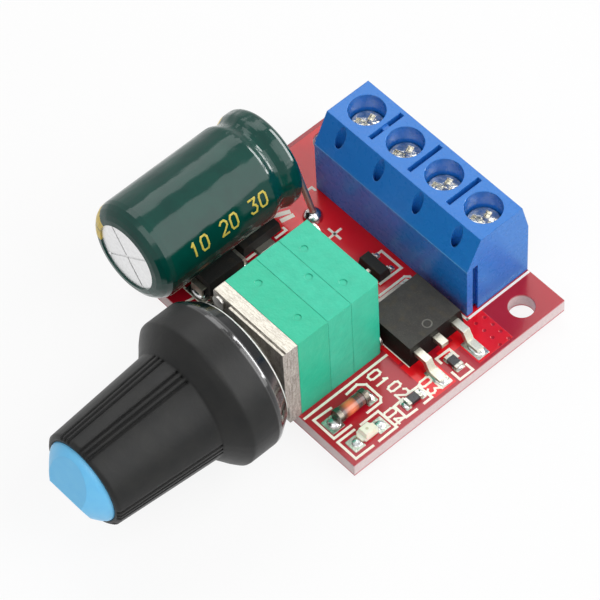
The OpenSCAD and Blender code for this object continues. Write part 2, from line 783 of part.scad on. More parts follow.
module resistor_housing() {
    color("mediumaquamarine") difference() {
        housing_slice(plate_back, deck_front_len - seat);
        round_on_shaft(plate_back - over, plate_back + wiper_room_len, wiper_room_d);
        round_on_shaft(plate_back, deck_middle_y + over, hub_d + 2 * turn_gap);
        wafer_foot(seat);
        pin_slots([-1, 0, 1], pin_y, pin_top);
        dimples([-1, 1], plate_back + deck_front_len * front_dimples);
        rivet_holes(plate_back, deck_middle_y);
    }
}

module middle_housing() {
    color("mediumaquamarine") difference() {
        housing_slice(deck_middle_y, deck_middle_len - seat);
        round_on_shaft(deck_middle_y - over, deck_rear_y + over, hub_d + 2 * turn_gap);
        dimples([0], deck_middle_y + deck_middle_len * middle_dimple);
        rivet_holes(deck_middle_y, deck_rear_y);
    }
}

module switch_housing() {
    color("mediumaquamarine") difference() {
        intersection() {
            housing_slice(deck_rear_y, deck_rear_len);
            // One upright edge at the back is rounded
            translate([0, 0, board_t - over]) linear_extrude(pot_h + 2 * over) {
                translate([pot_left - over, deck_rear_y - over]) square([pot_w + over - deck_corner_r, deck_rear_len + 2 * over]);
                translate([pot_left - over, deck_rear_y - over]) square([pot_w + 2 * over, deck_rear_len + over - deck_corner_r]);
                translate([pot_right - deck_corner_r, deck_end_y - deck_corner_r]) circle(r = deck_corner_r);
            }
        }
        round_on_shaft(deck_rear_y - over, deck_rear_y + switch_room_len, switch_room_d);
        translate([shaft_x - switch_room_w / 2, deck_rear_y - over, switch_low])
            cube([switch_room_w, switch_room_len + over, switch_room_d / 2]);
        pin_slots([-1, 1], switch_pin_y, switch_low + over);
        dimples([-1, 1], deck_rear_y + deck_rear_len * rear_dimples);
        rivet_holes(deck_rear_y, deck_end_y);
    }
}

module housing_rivets() {
    front_y = plate_front + recess_deep - seat - rivet_head_t;
    back_y = deck_end_y + seat + rivet_head_t;
    color("silver") for (p = rivet_places) translate([p[0], back_y, p[1]]) rotate([90, 0, 0]) {
        cylinder(d = rivet_d, h = back_y - front_y, $fn = 24);
        cylinder(d = rivet_head_d, h = rivet_head_t, $fn = 24);
        translate([0, 0, back_y - front_y - rivet_head_t]) cylinder(d = rivet_head_d, h = rivet_head_t, $fn = 24);
    }
}

module resistor_wafer() {
    color("sienna") difference() {
        union() {
            round_on_shaft(wafer_y, wafer_y + wafer_t, wiper_room_d - 2 * seat);
            wafer_foot(0);
        }
        round_on_shaft(plate_back, deck_middle_y, hub_d + 2 * turn_gap);
    }
}

module resistor_pins() {
    color("silver") pins([-1, 0, 1], pin_y, pin_top);
}

module switch_contacts() {
    color("silver") pins([-1, 1], switch_pin_y, switch_low + switch_step);
}

module switch_blade() {
    color("goldenrod") translate([shaft_x - pin_pitch - pin_w / 2, switch_pin_y - pin_t / 2, switch_low + switch_step + seat])
        cube([2 * pin_pitch + pin_w, pin_t, leaf_t]);
}

// Turned shaft with a knurled and slit end; the hub inside carries the wiper and the switch's cam
module control_shaft() {
    tooth = PI * shaft_d / knurl_count * 0.4;
    core_r = shaft_d / 2 - knurl_deep;
    tip_y = plate_front - shaft_len;
    color("whitesmoke") difference() {
        union() {
            round_on_shaft(tip_y + knurl_len, plate_back - shoulder_t - turn_gap, shaft_d);
            round_on_shaft(plate_back - shoulder_t - turn_gap, plate_back - turn_gap, shoulder_d);
            round_on_shaft(tip_y, tip_y + knurl_len + seat, 2 * core_r);
            for (k = [1 : knurl_count]) translate([shaft_x, tip_y + over, shaft_z]) rotate([0, k * 360 / knurl_count, 0])
                translate([core_r - over, 0, -tooth / 2]) cube([knurl_deep + over - seat, knurl_len - over, tooth]);
            round_on_shaft(plate_back - over, hub_end, hub_d);
            difference() {
                round_on_shaft(cam_y, hub_end, cam_d);
                translate([shaft_x - cam_d, cam_y - over, shaft_z + cam_flat]) cube([2 * cam_d, hub_end, cam_d]);
            }
        }
        translate([shaft_x - slit_w / 2, tip_y - over, shaft_z - shaft_d]) cube([slit_w, slit_len + over, 2 * shaft_d]);
    }
}

module wiper_carrier() {
    color("ivory") difference() {
        round_on_shaft(carrier_y, carrier_y + carrier_t, carrier_d);
        round_on_shaft(carrier_y - over, carrier_y + carrier_t + over, hub_d + 2 * seat);
        round_on_shaft(leaf_y, carrier_y + carrier_t + over, carrier_d - 2 * leaf_rim);
    }
}

module wiper_spring() {
    color("goldenrod") {
        difference() {
            round_on_shaft(leaf_y + seat, leaf_y + leaf_t, carrier_d - 2 * leaf_rim - 2 * seat);
            round_on_shaft(carrier_y, carrier_y + carrier_t + over, hub_d + leaf_rim);
        }
        for (s = [-1, 1]) translate([shaft_x + s * hub_d / 3 - arm_w / 2, leaf_y + seat, shaft_z + arm_z])
            cube([arm_w, wafer_y - leaf_y - 2 * seat, leaf_t]);
    }
}

// Short curve in place of a corner of an outline
function toward(from, to, d) = from + (to - from) * d / norm(to - from);
function soft(a, corner, b) = [for (s = [0 : 1 / 4 : 1]) pow(1 - s, 2) * toward(corner, a, knob_soft)
    + 2 * s * (1 - s) * corner + pow(s, 2) * toward(corner, b, knob_soft)];

// Half outline of the knob: radius and distance from the rear rim
rim_corner = [rim_d / 2, 0];
rear_corner = [skirt_d / 2, rim_len];
front_corner = [skirt_d / 2, rim_len + skirt_len];
shoulder_step = (grip_base_d - skirt_d) / 2;
knob_points = concat(soft([0, 0], rim_corner, rear_corner), soft(rim_corner, rear_corner, front_corner), [front_corner],
    [for (s = shoulder_shares) front_corner + [shoulder_step * s[1], shoulder_len * s[0]]],
    [[grip_tip_d / 2 + lip_r * sin(grip_taper), knob_len - lip_r], [grip_tip_d / 2 - lip_r, knob_len]]);

module knob_body() {
    bore_end = shaft_len - knob_gap + bore_spare;
    hub_start = bushing_len - knob_gap + hub_gap;
    color("dimgray") on_shaft(knob_rear) difference() {
        rotate_extrude($fn = 96) difference() {
            polygon(concat([[0, 0]], knob_points, [[0, knob_len]]));
            // Room for the bushing, bore for the shaft and seat for the cap
            polygon([[0, -over], [rim_d / 2 - knob_wall, -over], [rim_d / 2 - knob_wall, hub_start],
                [shaft_d / 2 + seat, hub_start], [shaft_d / 2 + seat, bore_end], [0, bore_end]]);
            translate([0, knob_len - cap_seat]) square([cap_d / 2 + seat, cap_seat + over]);
        }
        for (g = [0 : groups - 1], side = [-1, 1], k = [0 : grooves_in_group - 1]) {
            middle = group_start + g * 360 / groups + side * group_spread;
            rotate([0, 0, middle + (k - (grooves_in_group - 1) / 2) * groove_step])
                translate([grip_base_d / 2 - groove_deep, 0, grip_start]) rotate([0, -grip_taper, 0])
                    translate([0, -groove_w / 2, 0]) cube([groove_deep + shoulder_len, groove_w, grip_len + over]);
        }
    }
}

module knob_cap() {
    top = cap_seat + cap_proud - seat;
    half = cap_d / 2 + over;
    eave = top - half * tan(ridge_slope);
    color("deepskyblue") on_shaft(knob_rear - knob_len + cap_seat - seat) intersection() {
        rotate_extrude($fn = 96) polygon(concat([[0, 0], [cap_d / 2, 0]],
            [for (s = cap_dome) [cap_d / 2 * s[0], cap_seat - seat + cap_proud * s[1]]], [[ridge_len / 2, top], [0, top]]));
        // Two slanted faces that meet in the ridge
        rotate([0, 0, -ridge_turn]) along_x(-half, 2 * half)
            polygon([[-half, -over], [half, -over], [half, eave], [0, top], [-half, eave]]);
    }
}

// Capacitor pieces are drawn upright, with the lead end at z = 0, and laid down here
module laid_down() {
    translate(can_axis) rotate([0, 0, can_turn]) rotate([90 - can_tilt, 0, 0]) children();
}

function dip(z) = abs(z - crimp_at) < crimp_half ? crimp_deep * (1 + cos(180 * (z - crimp_at) / crimp_half)) / 2 : 0;
function arc(r, z, size, from) = [for (a = [from : 18 : from + 90]) [r + size * cos(a), z + size * sin(a)]];
function crimped(r) = [for (k = [-1 : 1 / 6 : 1.01]) [r - dip(crimp_at + crimp_half * k), crimp_at + crimp_half * k]];
// Half outline of a round shell with a pressed groove
function shell(r, foot, edge, low, high) =
    concat(arc(r - foot, low + foot, foot, -90), crimped(r), arc(r - edge, high - edge, edge, 0));
function backwards(list) = [for (k = [len(list) - 1 : -1 : 0]) list[k]];

module capacitor_sleeve() {
    color("darkslategray") laid_down() rotate_extrude($fn = 72) polygon(concat(
        shell(can_r, foot_r, vent_edge_r, 0, can_len),
        backwards(shell(can_r - sleeve_t, foot_r - sleeve_t, vent_edge_r - sleeve_t, sleeve_t, can_len - sleeve_t))));
}

module capacitor_can() {
    wall = metal_gap + metal_t;
    foot = foot_r - metal_gap;
    color("silver") laid_down() difference() {
        rotate_extrude($fn = 72) polygon(concat(shell(metal_r, foot, vent_edge_r - metal_gap, metal_gap, vent_face),
            [[0, vent_face], [0, vent_face - metal_t]],
            backwards(shell(can_r - wall, foot, vent_edge_r - wall, wall, vent_face - metal_t))));
        // Crossed score lines of the vent
        for (a = [35, 125]) rotate([0, 0, a]) translate([-metal_r * 0.66, -score_w / 2, vent_face - score_deep])
            cube([metal_r * 1.32, score_w, score_deep + over]);
    }
}

module capacitor_winding() {
    color("tan") laid_down() translate([0, 0, winding_start]) difference() {
        cylinder(r = winding_r, h = vent_face - metal_t - winding_start - over);
        translate([0, 0, -over]) cylinder(d = lead_d * 2, h = can_len, $fn = 24);
    }
}

module capacitor_bung() {
    r = can_r - metal_gap - metal_t - 2 * seat;
    color("black") laid_down() difference() {
        rotate_extrude() polygon(concat([[0, bung_start], [r - foot_r, bung_start]], crimped(r), [[r, bung_end], [0, bung_end]]));
        for (s = [-1, 1]) translate([s * lead_pitch / 2, 0, -over])
            cylinder(d = lead_d + 2 * seat, h = bung_end + 2 * over, $fn = 24);
    }
}

module capacitor_leads() {
    color("silver") for (s = [-1, 1]) {
        root = can_axis + s * lead_pitch / 2 * can_side + (winding_start - seat) * can_dir;
        out = can_axis + s * lead_pitch / 2 * can_side - lead_out * can_dir;
        low = [lead_x - (1 - s) / 2 * lead_pitch, lead_y, board_t + lead_drop];
        bar(root, out, lead_d);
        bar(out, low, lead_d);
        bar([low[0], low[1], pin_end], low, lead_d);
        for (p = [out, low]) translate(p) sphere(d = lead_d * lead_swell, $fn = 32);
    }
}

module transistor_body() {
    tab_run = fet_len * 0.8;
    color("black") translate([(fet_left + fet_right) / 2, fet_y, board_t]) difference() {
        translate([0, 0, seat]) moulded(fet_len, fet_w, fet_h - seat, fet_draft);
        // Room for the tab under the body, and for the leads on the right
        translate([-fet_len / 2 - over, -fet_tab_w / 2 - seat, -over])
            cube([tab_run + over, fet_tab_w + 2 * seat, fet_leaf + seat + over]);
        for (s = [-1, 0, 1]) translate([fet_len / 2 - lead_root, s * fet_lead_pitch / 2 - fet_lead_w / 2 - seat, fet_lead_h - seat])
            cube([lead_root + over, fet_lead_w + 2 * seat, fet_leaf + 2 * seat]);
    }
}

module transistor_leads() {
    mid = fet_lead_reach / 2;
    tab_end = fet_len * 0.8 - seat;
    half = fet_tab_w / 2;
    color("silver") translate([fet_right, fet_y, board_t]) {
        for (s = [-1, 1]) translate([0, s * fet_lead_pitch / 2, 0]) along_y(-fet_lead_w / 2, fet_lead_w)
            polygon([[seat - lead_root, fet_lead_h], [mid * 0.65, fet_lead_h], [mid, 0], [fet_lead_reach, 0],
                [fet_lead_reach, fet_leaf], [mid * 1.2, fet_leaf], [mid * 0.85, fet_lead_h + fet_leaf],
                [seat - lead_root, fet_lead_h + fet_leaf]]);
        translate([seat - lead_root, -fet_lead_w / 2, fet_lead_h]) cube([fet_stub_reach + lead_root, fet_lead_w, fet_leaf]);
        translate([-fet_len, 0, 0]) linear_extrude(fet_leaf) polygon([[-fet_tab_reach, fet_corner - half],
            [fet_corner - fet_tab_reach, -half], [tab_end, -half], [tab_end, half],
            [fet_corner - fet_tab_reach, half], [-fet_tab_reach, half - fet_corner]]);
    }
}

module flyback_diode() {
    color("black") translate([fly_x, fly_y, board_t + leaf_t + seat]) moulded(fly_w, fly_len, fly_h - leaf_t - seat, fly_draft);
}

module flyback_diode_leads() {
    // The leads stop just short of the slanted ends of the body
    root = fly_len / 2 - fly_draft * 0.4;
    out = fly_len / 2 + fly_reach;
    color("silver") for (s = [0, 180]) translate([fly_x, fly_y, board_t]) rotate([0, 0, s])
        along_x(-fly_lead_w / 2, fly_lead_w) polygon([[fly_len / 2 - fly_foot, 0], [out, 0], [out, fly_rise + leaf_t],
            [root, fly_rise + leaf_t], [root, fly_rise], [out - leaf_t, fly_rise], [out - leaf_t, leaf_t],
            [fly_len / 2 - fly_foot, leaf_t]]);
}

module regulator() {
    color("black") translate([reg_x, reg_y, board_t + reg_leaf + seat])
        moulded(reg_w, reg_len, reg_h - reg_leaf - seat, small_draft);
}

module regulator_leads() {
    color("silver") translate([reg_x, reg_y, board_t]) {
        for (s = [-1, 1]) translate([-reg_w / 2 - reg_reach, s * reg_pitch - reg_lead_w / 2, 0])
            cube([reg_reach + reg_w / 4, reg_lead_w, reg_leaf]);
        translate([-reg_w / 2 - reg_reach, -reg_lead_w / 2, 0]) cube([reg_w + reg_reach, reg_lead_w, reg_leaf]);
        translate([-reg_w / 4, -reg_tab_w / 2, 0]) cube([reg_w * 0.75 + reg_tab_reach, reg_tab_w, reg_leaf]);
    }
}

// Places of the timer chip's leads, four on each side
module chip_sides() {
    for (k = [0 : 3], s = [0, 180]) rotate([0, 0, s]) translate([(k - 1.5) * chip_pitch, chip_w / 2, 0])
        rotate([0, 0, 90]) children();
}

module timer_chip() {
    color("black") translate([chip_x, chip_y, board_t]) difference() {
        translate([0, 0, chip_stand]) moulded(chip_len, chip_w, chip_h - chip_stand, small_draft);
        translate([chip_len / 2 - chip_mark_d, chip_mark_d - chip_w / 2, chip_h - chip_mark_deep])
            cylinder(d = chip_mark_d, h = over, $fn = 24);
        chip_sides() lead_pocket(chip_lead_h, leaf_t, chip_lead_w);
    }
}

module timer_chip_leads() {
    color("silver") translate([chip_x, chip_y, board_t]) chip_sides() gull_lead(chip_reach, chip_lead_h, leaf_t, chip_lead_w);
}

// Places of the gate transistor's leads, two behind and one in front
module gate_sides() {
    for (x = [-gate_step, gate_step]) translate([x, gate_w / 2, 0]) rotate([0, 0, 90]) children();
    translate([0, -gate_w / 2, 0]) rotate([0, 0, -90]) children();
}

module gate_transistor() {
    color("black") translate([gate_x, gate_y, board_t]) difference() {
        translate([0, 0, gate_stand]) moulded(gate_len, gate_w, gate_h - gate_stand, small_draft);
        gate_sides() lead_pocket(gate_lead_h, leaf_t, gate_lead_w);
    }
}

module gate_transistor_leads() {
    color("silver") translate([gate_x, gate_y, board_t]) gate_sides() gull_lead(gate_reach, gate_lead_h, leaf_t, gate_lead_w);
}

// Middle of a chip with metal ends; its length runs along X
module chip_middle(l, w, h) {
    end = l * chip_end_share + seat;
    translate([-l / 2 + end, -w / 2 + seat, seat]) cube([l - 2 * end, w - 2 * seat, h - 2 * seat]);
}

module chip_ends(l, w, h) {
    end = l * chip_end_share;
    for (s = [-1, 1]) translate([s * (l - end) / 2 - end / 2, -w / 2, 0]) cube([end, w, h]);
}

module at_places(places) {
    for (p = places) translate([p[0], p[1], board_t]) rotate([0, 0, p[2]]) children();
}

module chip_resistors() {
    color("black") at_places(res_places) chip_middle(res_len, res_w, res_h);
}

module resistor_ends() {
    color("silver") at_places(res_places) chip_ends(res_len, res_w, res_h);
}

module chip_capacitors() {
    color("peru") at_places(mlcc_places) chip_middle(mlcc_len, mlcc_w, mlcc_h);
}

module chip_capacitor_ends() {
    color("silver") at_places(mlcc_places) chip_ends(mlcc_len, mlcc_w, mlcc_h);
}

module glass_diodes() {
    run = glass_len - 2 * glass_cap_len - 2 * seat;
    color("orange") for (p = glass_places) translate([p[0], p[1] + run / 2, board_t + glass_d / 2]) rotate([90, 0, 0])
        cylinder(d = glass_d - 2 * glass_step, h = run, $fn = 32);
}

module glass_diode_caps() {
    step = (glass_len - glass_cap_len) / 2;
    color("silver") for (p = glass_places, s = [-1, 1])
        translate([p[0], p[1] + s * step + glass_cap_len / 2, board_t + glass_d / 2]) rotate([90, 0, 0])
            cylinder(d = glass_d, h = glass_cap_len, $fn = 32);
}

// Strip of metal at each end of the lamp
module lamp_strip(spare, low) {
    for (y = [-1, 1]) translate([0, y * (led_len - led_end_len) / 2, low + (led_end_t + spare - low) / 2])
        cube([led_end_w + 2 * spare, led_end_len + 2 * spare, led_end_t + spare - low], center = true);
}

module indicator_lamp() {
    color("ivory") translate([led_x, led_y, board_t]) difference() {
        union() {
            translate([seat - led_w / 2, seat - led_len / 2, seat]) cube([led_w - 2 * seat, led_len - 2 * seat, led_base_t - seat]);
            translate([0, 0, led_base_t - seat]) moulded(led_w - 4 * seat, led_len * led_lens_share, led_h - led_base_t, small_draft);
        }
        for (x = [-1, 1], y = [-1, 1]) translate([x * led_w / 2, y * led_len / 2, -over]) cylinder(r = led_notch_r, h = led_h, $fn = 24);
        lamp_strip(seat, -over);
    }
}

module indicator_lamp_ends() {
    color("gold") translate([led_x, led_y, board_t]) lamp_strip(0, 0);
}

circuit_board();
board_solder();
terminal_housing();
terminal_contacts();
terminal_screw_1();
terminal_screw_2();
terminal_screw_3();
terminal_screw_4();
wire_clamp_1();
wire_clamp_2();
wire_clamp_3();
wire_clamp_4();
control_front_plate();
resistor_housing();
middle_housing();
switch_housing();
housing_rivets();
resistor_wafer();
resistor_pins();
switch_contacts();
switch_blade();
control_shaft();
wiper_carrier();
wiper_spring();
knob_body();
knob_cap();
capacitor_can();
capacitor_winding();
capacitor_sleeve();
capacitor_bung();
capacitor_leads();
transistor_body();
transistor_leads();
flyback_diode();
flyback_diode_leads();
regulator();
regulator_leads();
timer_chip();
timer_chip_leads();
gate_transistor();
gate_transistor_leads();
chip_resistors();
resistor_ends();
chip_capacitors();
chip_capacitor_ends();
glass_diodes();
glass_diode_caps();
indicator_lamp();
indicator_lamp_ends();
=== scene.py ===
import math
from functools import reduce

import bmesh
import bpy
from mathutils import Matrix, Vector


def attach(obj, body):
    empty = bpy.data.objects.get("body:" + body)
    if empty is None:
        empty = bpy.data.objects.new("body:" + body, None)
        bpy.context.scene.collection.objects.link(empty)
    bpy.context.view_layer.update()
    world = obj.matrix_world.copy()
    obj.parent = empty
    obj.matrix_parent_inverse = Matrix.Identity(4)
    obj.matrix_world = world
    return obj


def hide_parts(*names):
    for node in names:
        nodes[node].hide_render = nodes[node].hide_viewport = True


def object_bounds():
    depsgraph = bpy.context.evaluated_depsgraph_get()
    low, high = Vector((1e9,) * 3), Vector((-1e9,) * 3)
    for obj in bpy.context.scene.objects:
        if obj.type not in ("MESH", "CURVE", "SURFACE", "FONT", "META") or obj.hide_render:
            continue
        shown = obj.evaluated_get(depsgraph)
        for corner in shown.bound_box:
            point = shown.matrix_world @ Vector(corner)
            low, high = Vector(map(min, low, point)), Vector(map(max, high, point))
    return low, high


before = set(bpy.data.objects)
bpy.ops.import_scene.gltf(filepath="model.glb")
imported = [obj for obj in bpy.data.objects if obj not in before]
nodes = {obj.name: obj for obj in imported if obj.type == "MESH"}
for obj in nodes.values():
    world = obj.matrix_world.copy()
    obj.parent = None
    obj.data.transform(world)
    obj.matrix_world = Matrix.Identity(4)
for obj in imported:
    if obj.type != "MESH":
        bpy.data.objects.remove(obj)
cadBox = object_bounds()
mm = 0.001
print("frame loaded:", len(nodes), "nodes")


def paint(red, green, blue):
    # a colour written as a screen shows it, 0 to 255, turned into Blender's linear values
    def channel(v):
        v /= 255
        return v / 12.92 if v <= 0.04045 else ((v + 0.055) / 1.055) ** 2.4
    return (channel(red), channel(green), channel(blue), 1)


class Wire:
    # one socket of a shader, so that patterns are written as sums
    def __init__(self, finish, socket):
        self.finish, self.socket = finish, socket

    def sum(self, operation, *values, clamp=False):
        return self.finish.node("ShaderNodeMath", {"operation": operation, "use_clamp": clamp}, values)

    def __add__(self, other): return self.sum("ADD", self, other)
    def __radd__(self, other): return self.sum("ADD", other, self)
    def __sub__(self, other): return self.sum("SUBTRACT", self, other)
    def __rsub__(self, other): return self.sum("SUBTRACT", other, self)
    def __mul__(self, other): return self.sum("MULTIPLY", self, other)
    def __rmul__(self, other): return self.sum("MULTIPLY", other, self)
    def __pow__(self, other): return self.sum("POWER", self, other)
    def __gt__(self, other): return self.sum("GREATER_THAN", self, other)
    def __lt__(self, other): return self.sum("LESS_THAN", self, other)
    def __abs__(self): return self.sum("ABSOLUTE", self)
    def clamp(self): return self.sum("ADD", self, 0, clamp=True)


class Finish:
    # a material with one Principled shader; its patterns are measured in millimetres
    sockets = {
        "colour": "Base Color", "roughness": "Roughness", "metallic": "Metallic", "normal": "Normal",
        "coat": "Coat Weight", "coatRoughness": "Coat Roughness", "ior": "IOR",
        "specular": "Specular IOR Level", "subsurface": "Subsurface Weight",
        "subsurfaceScale": "Subsurface Scale",
    }

    def __init__(self, name, **fixed):
        self.material = bpy.data.materials.new(name)
        self.material.use_nodes = True
        self.tree = self.material.node_tree
        self.shader = self.tree.nodes["Principled BSDF"]
        metres = self.node("ShaderNodeTexCoord", {}, (), "Object")
        self.place = self.stretched(metres, (1 / mm, 1 / mm, 1 / mm))
        for socket, value in fixed.items():
            self.feed(socket, value)

    def node(self, kind, settings, inputs=(), output=0):
        made = self.tree.nodes.new(kind)
        for key, value in settings.items():
            setattr(made, key, value)
        for key, value in (inputs.items() if isinstance(inputs, dict) else enumerate(inputs)):
            if isinstance(value, Wire):
                self.tree.links.new(value.socket, made.inputs[key])
            else:
                made.inputs[key].default_value = value
        return Wire(self, made.outputs[output])

    def feed(self, socket, value):
        name = self.sockets[socket]
        if isinstance(value, Wire):
            self.tree.links.new(value.socket, self.shader.inputs[name])
        else:
            self.shader.inputs[name].default_value = value

    def stretched(self, place, scale):
        return self.node("ShaderNodeMapping", {"vector_type": "POINT"}, {"Vector": place, "Scale": scale})

    def axes(self):
        return [self.node("ShaderNodeSeparateXYZ", {}, (self.place,), i) for i in range(3)]

    def upward(self):
        # 1 where the surface faces up, -1 where it faces down
        normal = self.node("ShaderNodeNewGeometry", {}, (), "Normal")
        return self.node("ShaderNodeSeparateXYZ", {}, (normal,), 2)

    def noise(self, scale, detail, stretch=(1, 1, 1)):
        place = self.stretched(self.place, stretch)
        return self.node("ShaderNodeTexNoise", {}, {"Vector": place, "Scale": scale, "Detail": detail})

    def spots(self, scale, detail, stretch=(1, 1, 1), *, gain, cut):
        # noise with more contrast: 0 below the cut, then rising to 1
        return (self.noise(scale, detail, stretch) * gain - cut).clamp()

    def band(self, value, low, high, soft=0.02):
        # 1 where the value lies between low and high, with soft edges
        return self.step(value, low, soft) * (1 - self.step(value, high, soft))

    def step(self, value, at, soft=0.02):
        # rises from 0 to 1 round the given value
        return self.node("ShaderNodeMapRange", {"interpolation_type": "SMOOTHSTEP"},
                         (value, at - soft, at + soft, 0.0, 1.0))

    def patches(self, x, y, boxes):
        # 1 inside any of the boxes, each given as x from, x to, y from, y to
        made = [self.band(x, left, right) * self.band(y, front, back) for left, right, front, back in boxes]
        return reduce(lambda a, b: a.sum("MAXIMUM", a, b), made)

    def blend(self, amount, first, second):
        # inputs 0, 6 and 7 are the factor and the two colours; output 2 is the colour
        return self.node("ShaderNodeMix", {"data_type": "RGBA"}, {0: amount, 6: first, 7: second}, 2)

    def relief(self, height, depth, edge=0.0):
        # height is scaled to the depth in millimetres; edge is the radius of softened edges
        inputs = {"Strength": 1.0, "Distance": depth * mm, "Height": height}
        if edge:
            inputs["Normal"] = self.node("ShaderNodeBevel", {"samples": 4}, {"Radius": edge * mm})
        self.feed("normal", self.node("ShaderNodeBump", {}, inputs))


def distance(x, y, centre):
    # distance of the shaded point from an axis
    dx, dy = x - centre[0], y - centre[1]
    return (dx * dx + dy * dy) ** 0.5


def dress(finish, *names):
    # gives a finish to CAD nodes
    for name in names:
        obj = nodes[name]
        if not obj.material_slots:
            obj.data.materials.append(finish.material)
        for slot in obj.material_slots:
            slot.material = finish.material


def piece(name, bm, finish, body="controller"):
    # turns bmesh work in millimetres into a piece that rides on a CAD body
    bmesh.ops.scale(bm, vec=(mm, mm, mm), verts=bm.verts)
    bmesh.ops.recalc_face_normals(bm, faces=bm.faces)
    mesh = bpy.data.meshes.new(name)
    bm.to_mesh(mesh)
    bm.free()
    obj = bpy.data.objects.new(name, mesh)
    bpy.context.scene.collection.objects.link(obj)
    mesh.materials.append(finish.material)
    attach(obj, body)
    return obj


# Red circuit board
board = {
    "top": 1.6,
    "copperUnderMask": paint(232, 14, 26),
    "bareUnderMask": paint(176, 16, 36),
    "maskCloud": paint(140, 8, 24),
    "hole": paint(110, 6, 18),
    "edge": paint(242, 228, 226),
    "edgeFibre": paint(196, 166, 168),
    "edgeMask": paint(200, 74, 86),     # mask that runs over the rim
    "edgeBare": (0.16, 1.44),           # z between which the edge shows bare laminate
    # copper under the mask on the top side: x from, x to, y from, y to
    "topPours": [
        (-14.6, -7.9, -10.4, 2.8), (-7.9, 4.4, -9.9, -4.0), (9.9, 14.7, -6.95, -2.85),
        (4.4, 9.9, -12.2, -3.2), (10.2, 14.7, -12.3, -9.7), (11.3, 12.2, -9.0, -6.0),
    ],
    # copper on the underside: pours, then tracks
    "underPours": [
        (-14.6, -2.0, -4.5, 2.9), (-14.6, -9.5, -21.8, -4.5), (2.2, 14.6, -8.5, 2.9),
        (-6.9, -4.6, -15.5, -4.5), (-1.2, -0.5, -20.5, -4.0), (0.6, 1.1, -20.0, -15.2),
        (3.0, 3.5, -19.0, -8.5), (-4.0, 5.6, -14.4, -13.8), (5.5, 6.0, -19.2, -10.0),
        (7.6, 12.4, -16.4, -15.9), (11.8, 12.4, -20.2, -9.5), (-9.0, 1.0, -20.6, -20.0),
    ],
    # small plated holes beside the power transistor
    "vias": [
        (11.45, -3.2), (12.5, -3.2), (13.5, -3.2), (14.55, -3.2),
        (11.4, -4.2), (12.45, -4.2), (13.5, -4.2), (14.5, -4.25),
    ],
    "viaRadius": 0.16,
}


def boardFinish():
    f = Finish("solderMaskRed", ior=1.5, specular=0.3, coatRoughness=0.08)
    x, y, z = f.axes()
    up = f.upward()
    top, bottom = f.step(up, 0.5, soft=0.2), 1 - f.step(up, -0.5, soft=0.2)
    tracks = f.patches(x, y, board["topPours"]) * top + f.patches(x, y, board["underPours"]) * bottom
    tracks = tracks.clamp()
    dots = [1 - f.step(distance(x, y, via), board["viaRadius"], soft=0.05) for via in board["vias"]]
    holes = reduce(lambda a, b: a + b, dots) * top
    mask = f.blend(tracks, board["bareUnderMask"], board["copperUnderMask"])
    mask = f.blend(((f.noise(scale=0.35, detail=3) - 0.35) * 0.3).clamp(), mask, board["maskCloud"])
    mask = f.blend(holes * 0.55, mask, board["hole"])
    fibre = f.spots(scale=3.2, detail=4, stretch=(1, 1, 9), gain=1.3, cut=0.2)
    side = f.blend(fibre, board["edge"], board["edgeFibre"])
    bare = f.band(z, *board["edgeBare"], soft=0.05)
    side = f.blend((1 - bare) * 0.8, side, board["edgeMask"])
    flat = (top + bottom).clamp()
    f.feed("colour", f.blend(flat, side, mask))
    f.feed("roughness", 0.62 - flat * 0.42 + f.noise(scale=5, detail=2) * 0.06)
    f.feed("coat", flat * 0.22)
    weave = f.noise(scale=2.2, detail=2, stretch=(1, 6, 1)) + f.noise(scale=2.2, detail=2, stretch=(6, 1, 1))
    height = weave * 0.12 + tracks * 0.5 - holes * 0.8 + f.noise(scale=9, detail=3) * (1 - flat) * 1.6
    f.relief(height, depth=0.03, edge=0.06)
    return f


dress(boardFinish(), "circuit_board")


def printFinish():
    f = Finish("printWhite", roughness=0.55)
    wear = f.spots(scale=4, detail=4, gain=1.6, cut=0.6)
    f.feed("colour", f.blend(wear * 0.4, paint(255, 248, 234), paint(236, 206, 194)))
    f.relief(f.noise(scale=12, detail=3), depth=0.01)
    return f


def tinFinish(name, colour, dull, grain, rough, bump):
    f = Finish(name, metallic=1.0)
    f.feed("colour", f.blend(f.spots(scale=grain, detail=4, gain=1.5, cut=0.4), colour, dull))
    f.feed("roughness", rough + f.noise(scale=grain * 0.6, detail=3) * 0.18)
    f.relief(f.noise(scale=grain * 0.8, detail=3), depth=bump, edge=0.05)
    return f


padTin = tinFinish("padTin", paint(196, 194, 184), paint(120, 126, 118), grain=4, rough=0.2, bump=0.05)
leadTin = tinFinish("leadTin", paint(206, 203, 190), paint(166, 162, 148), grain=9, rough=0.34, bump=0.02)
solderMetal = tinFinish("solderMetal", paint(214, 214, 214), paint(150, 152, 154), grain=3, rough=0.12,
                        bump=0.05)
printWhite = printFinish()

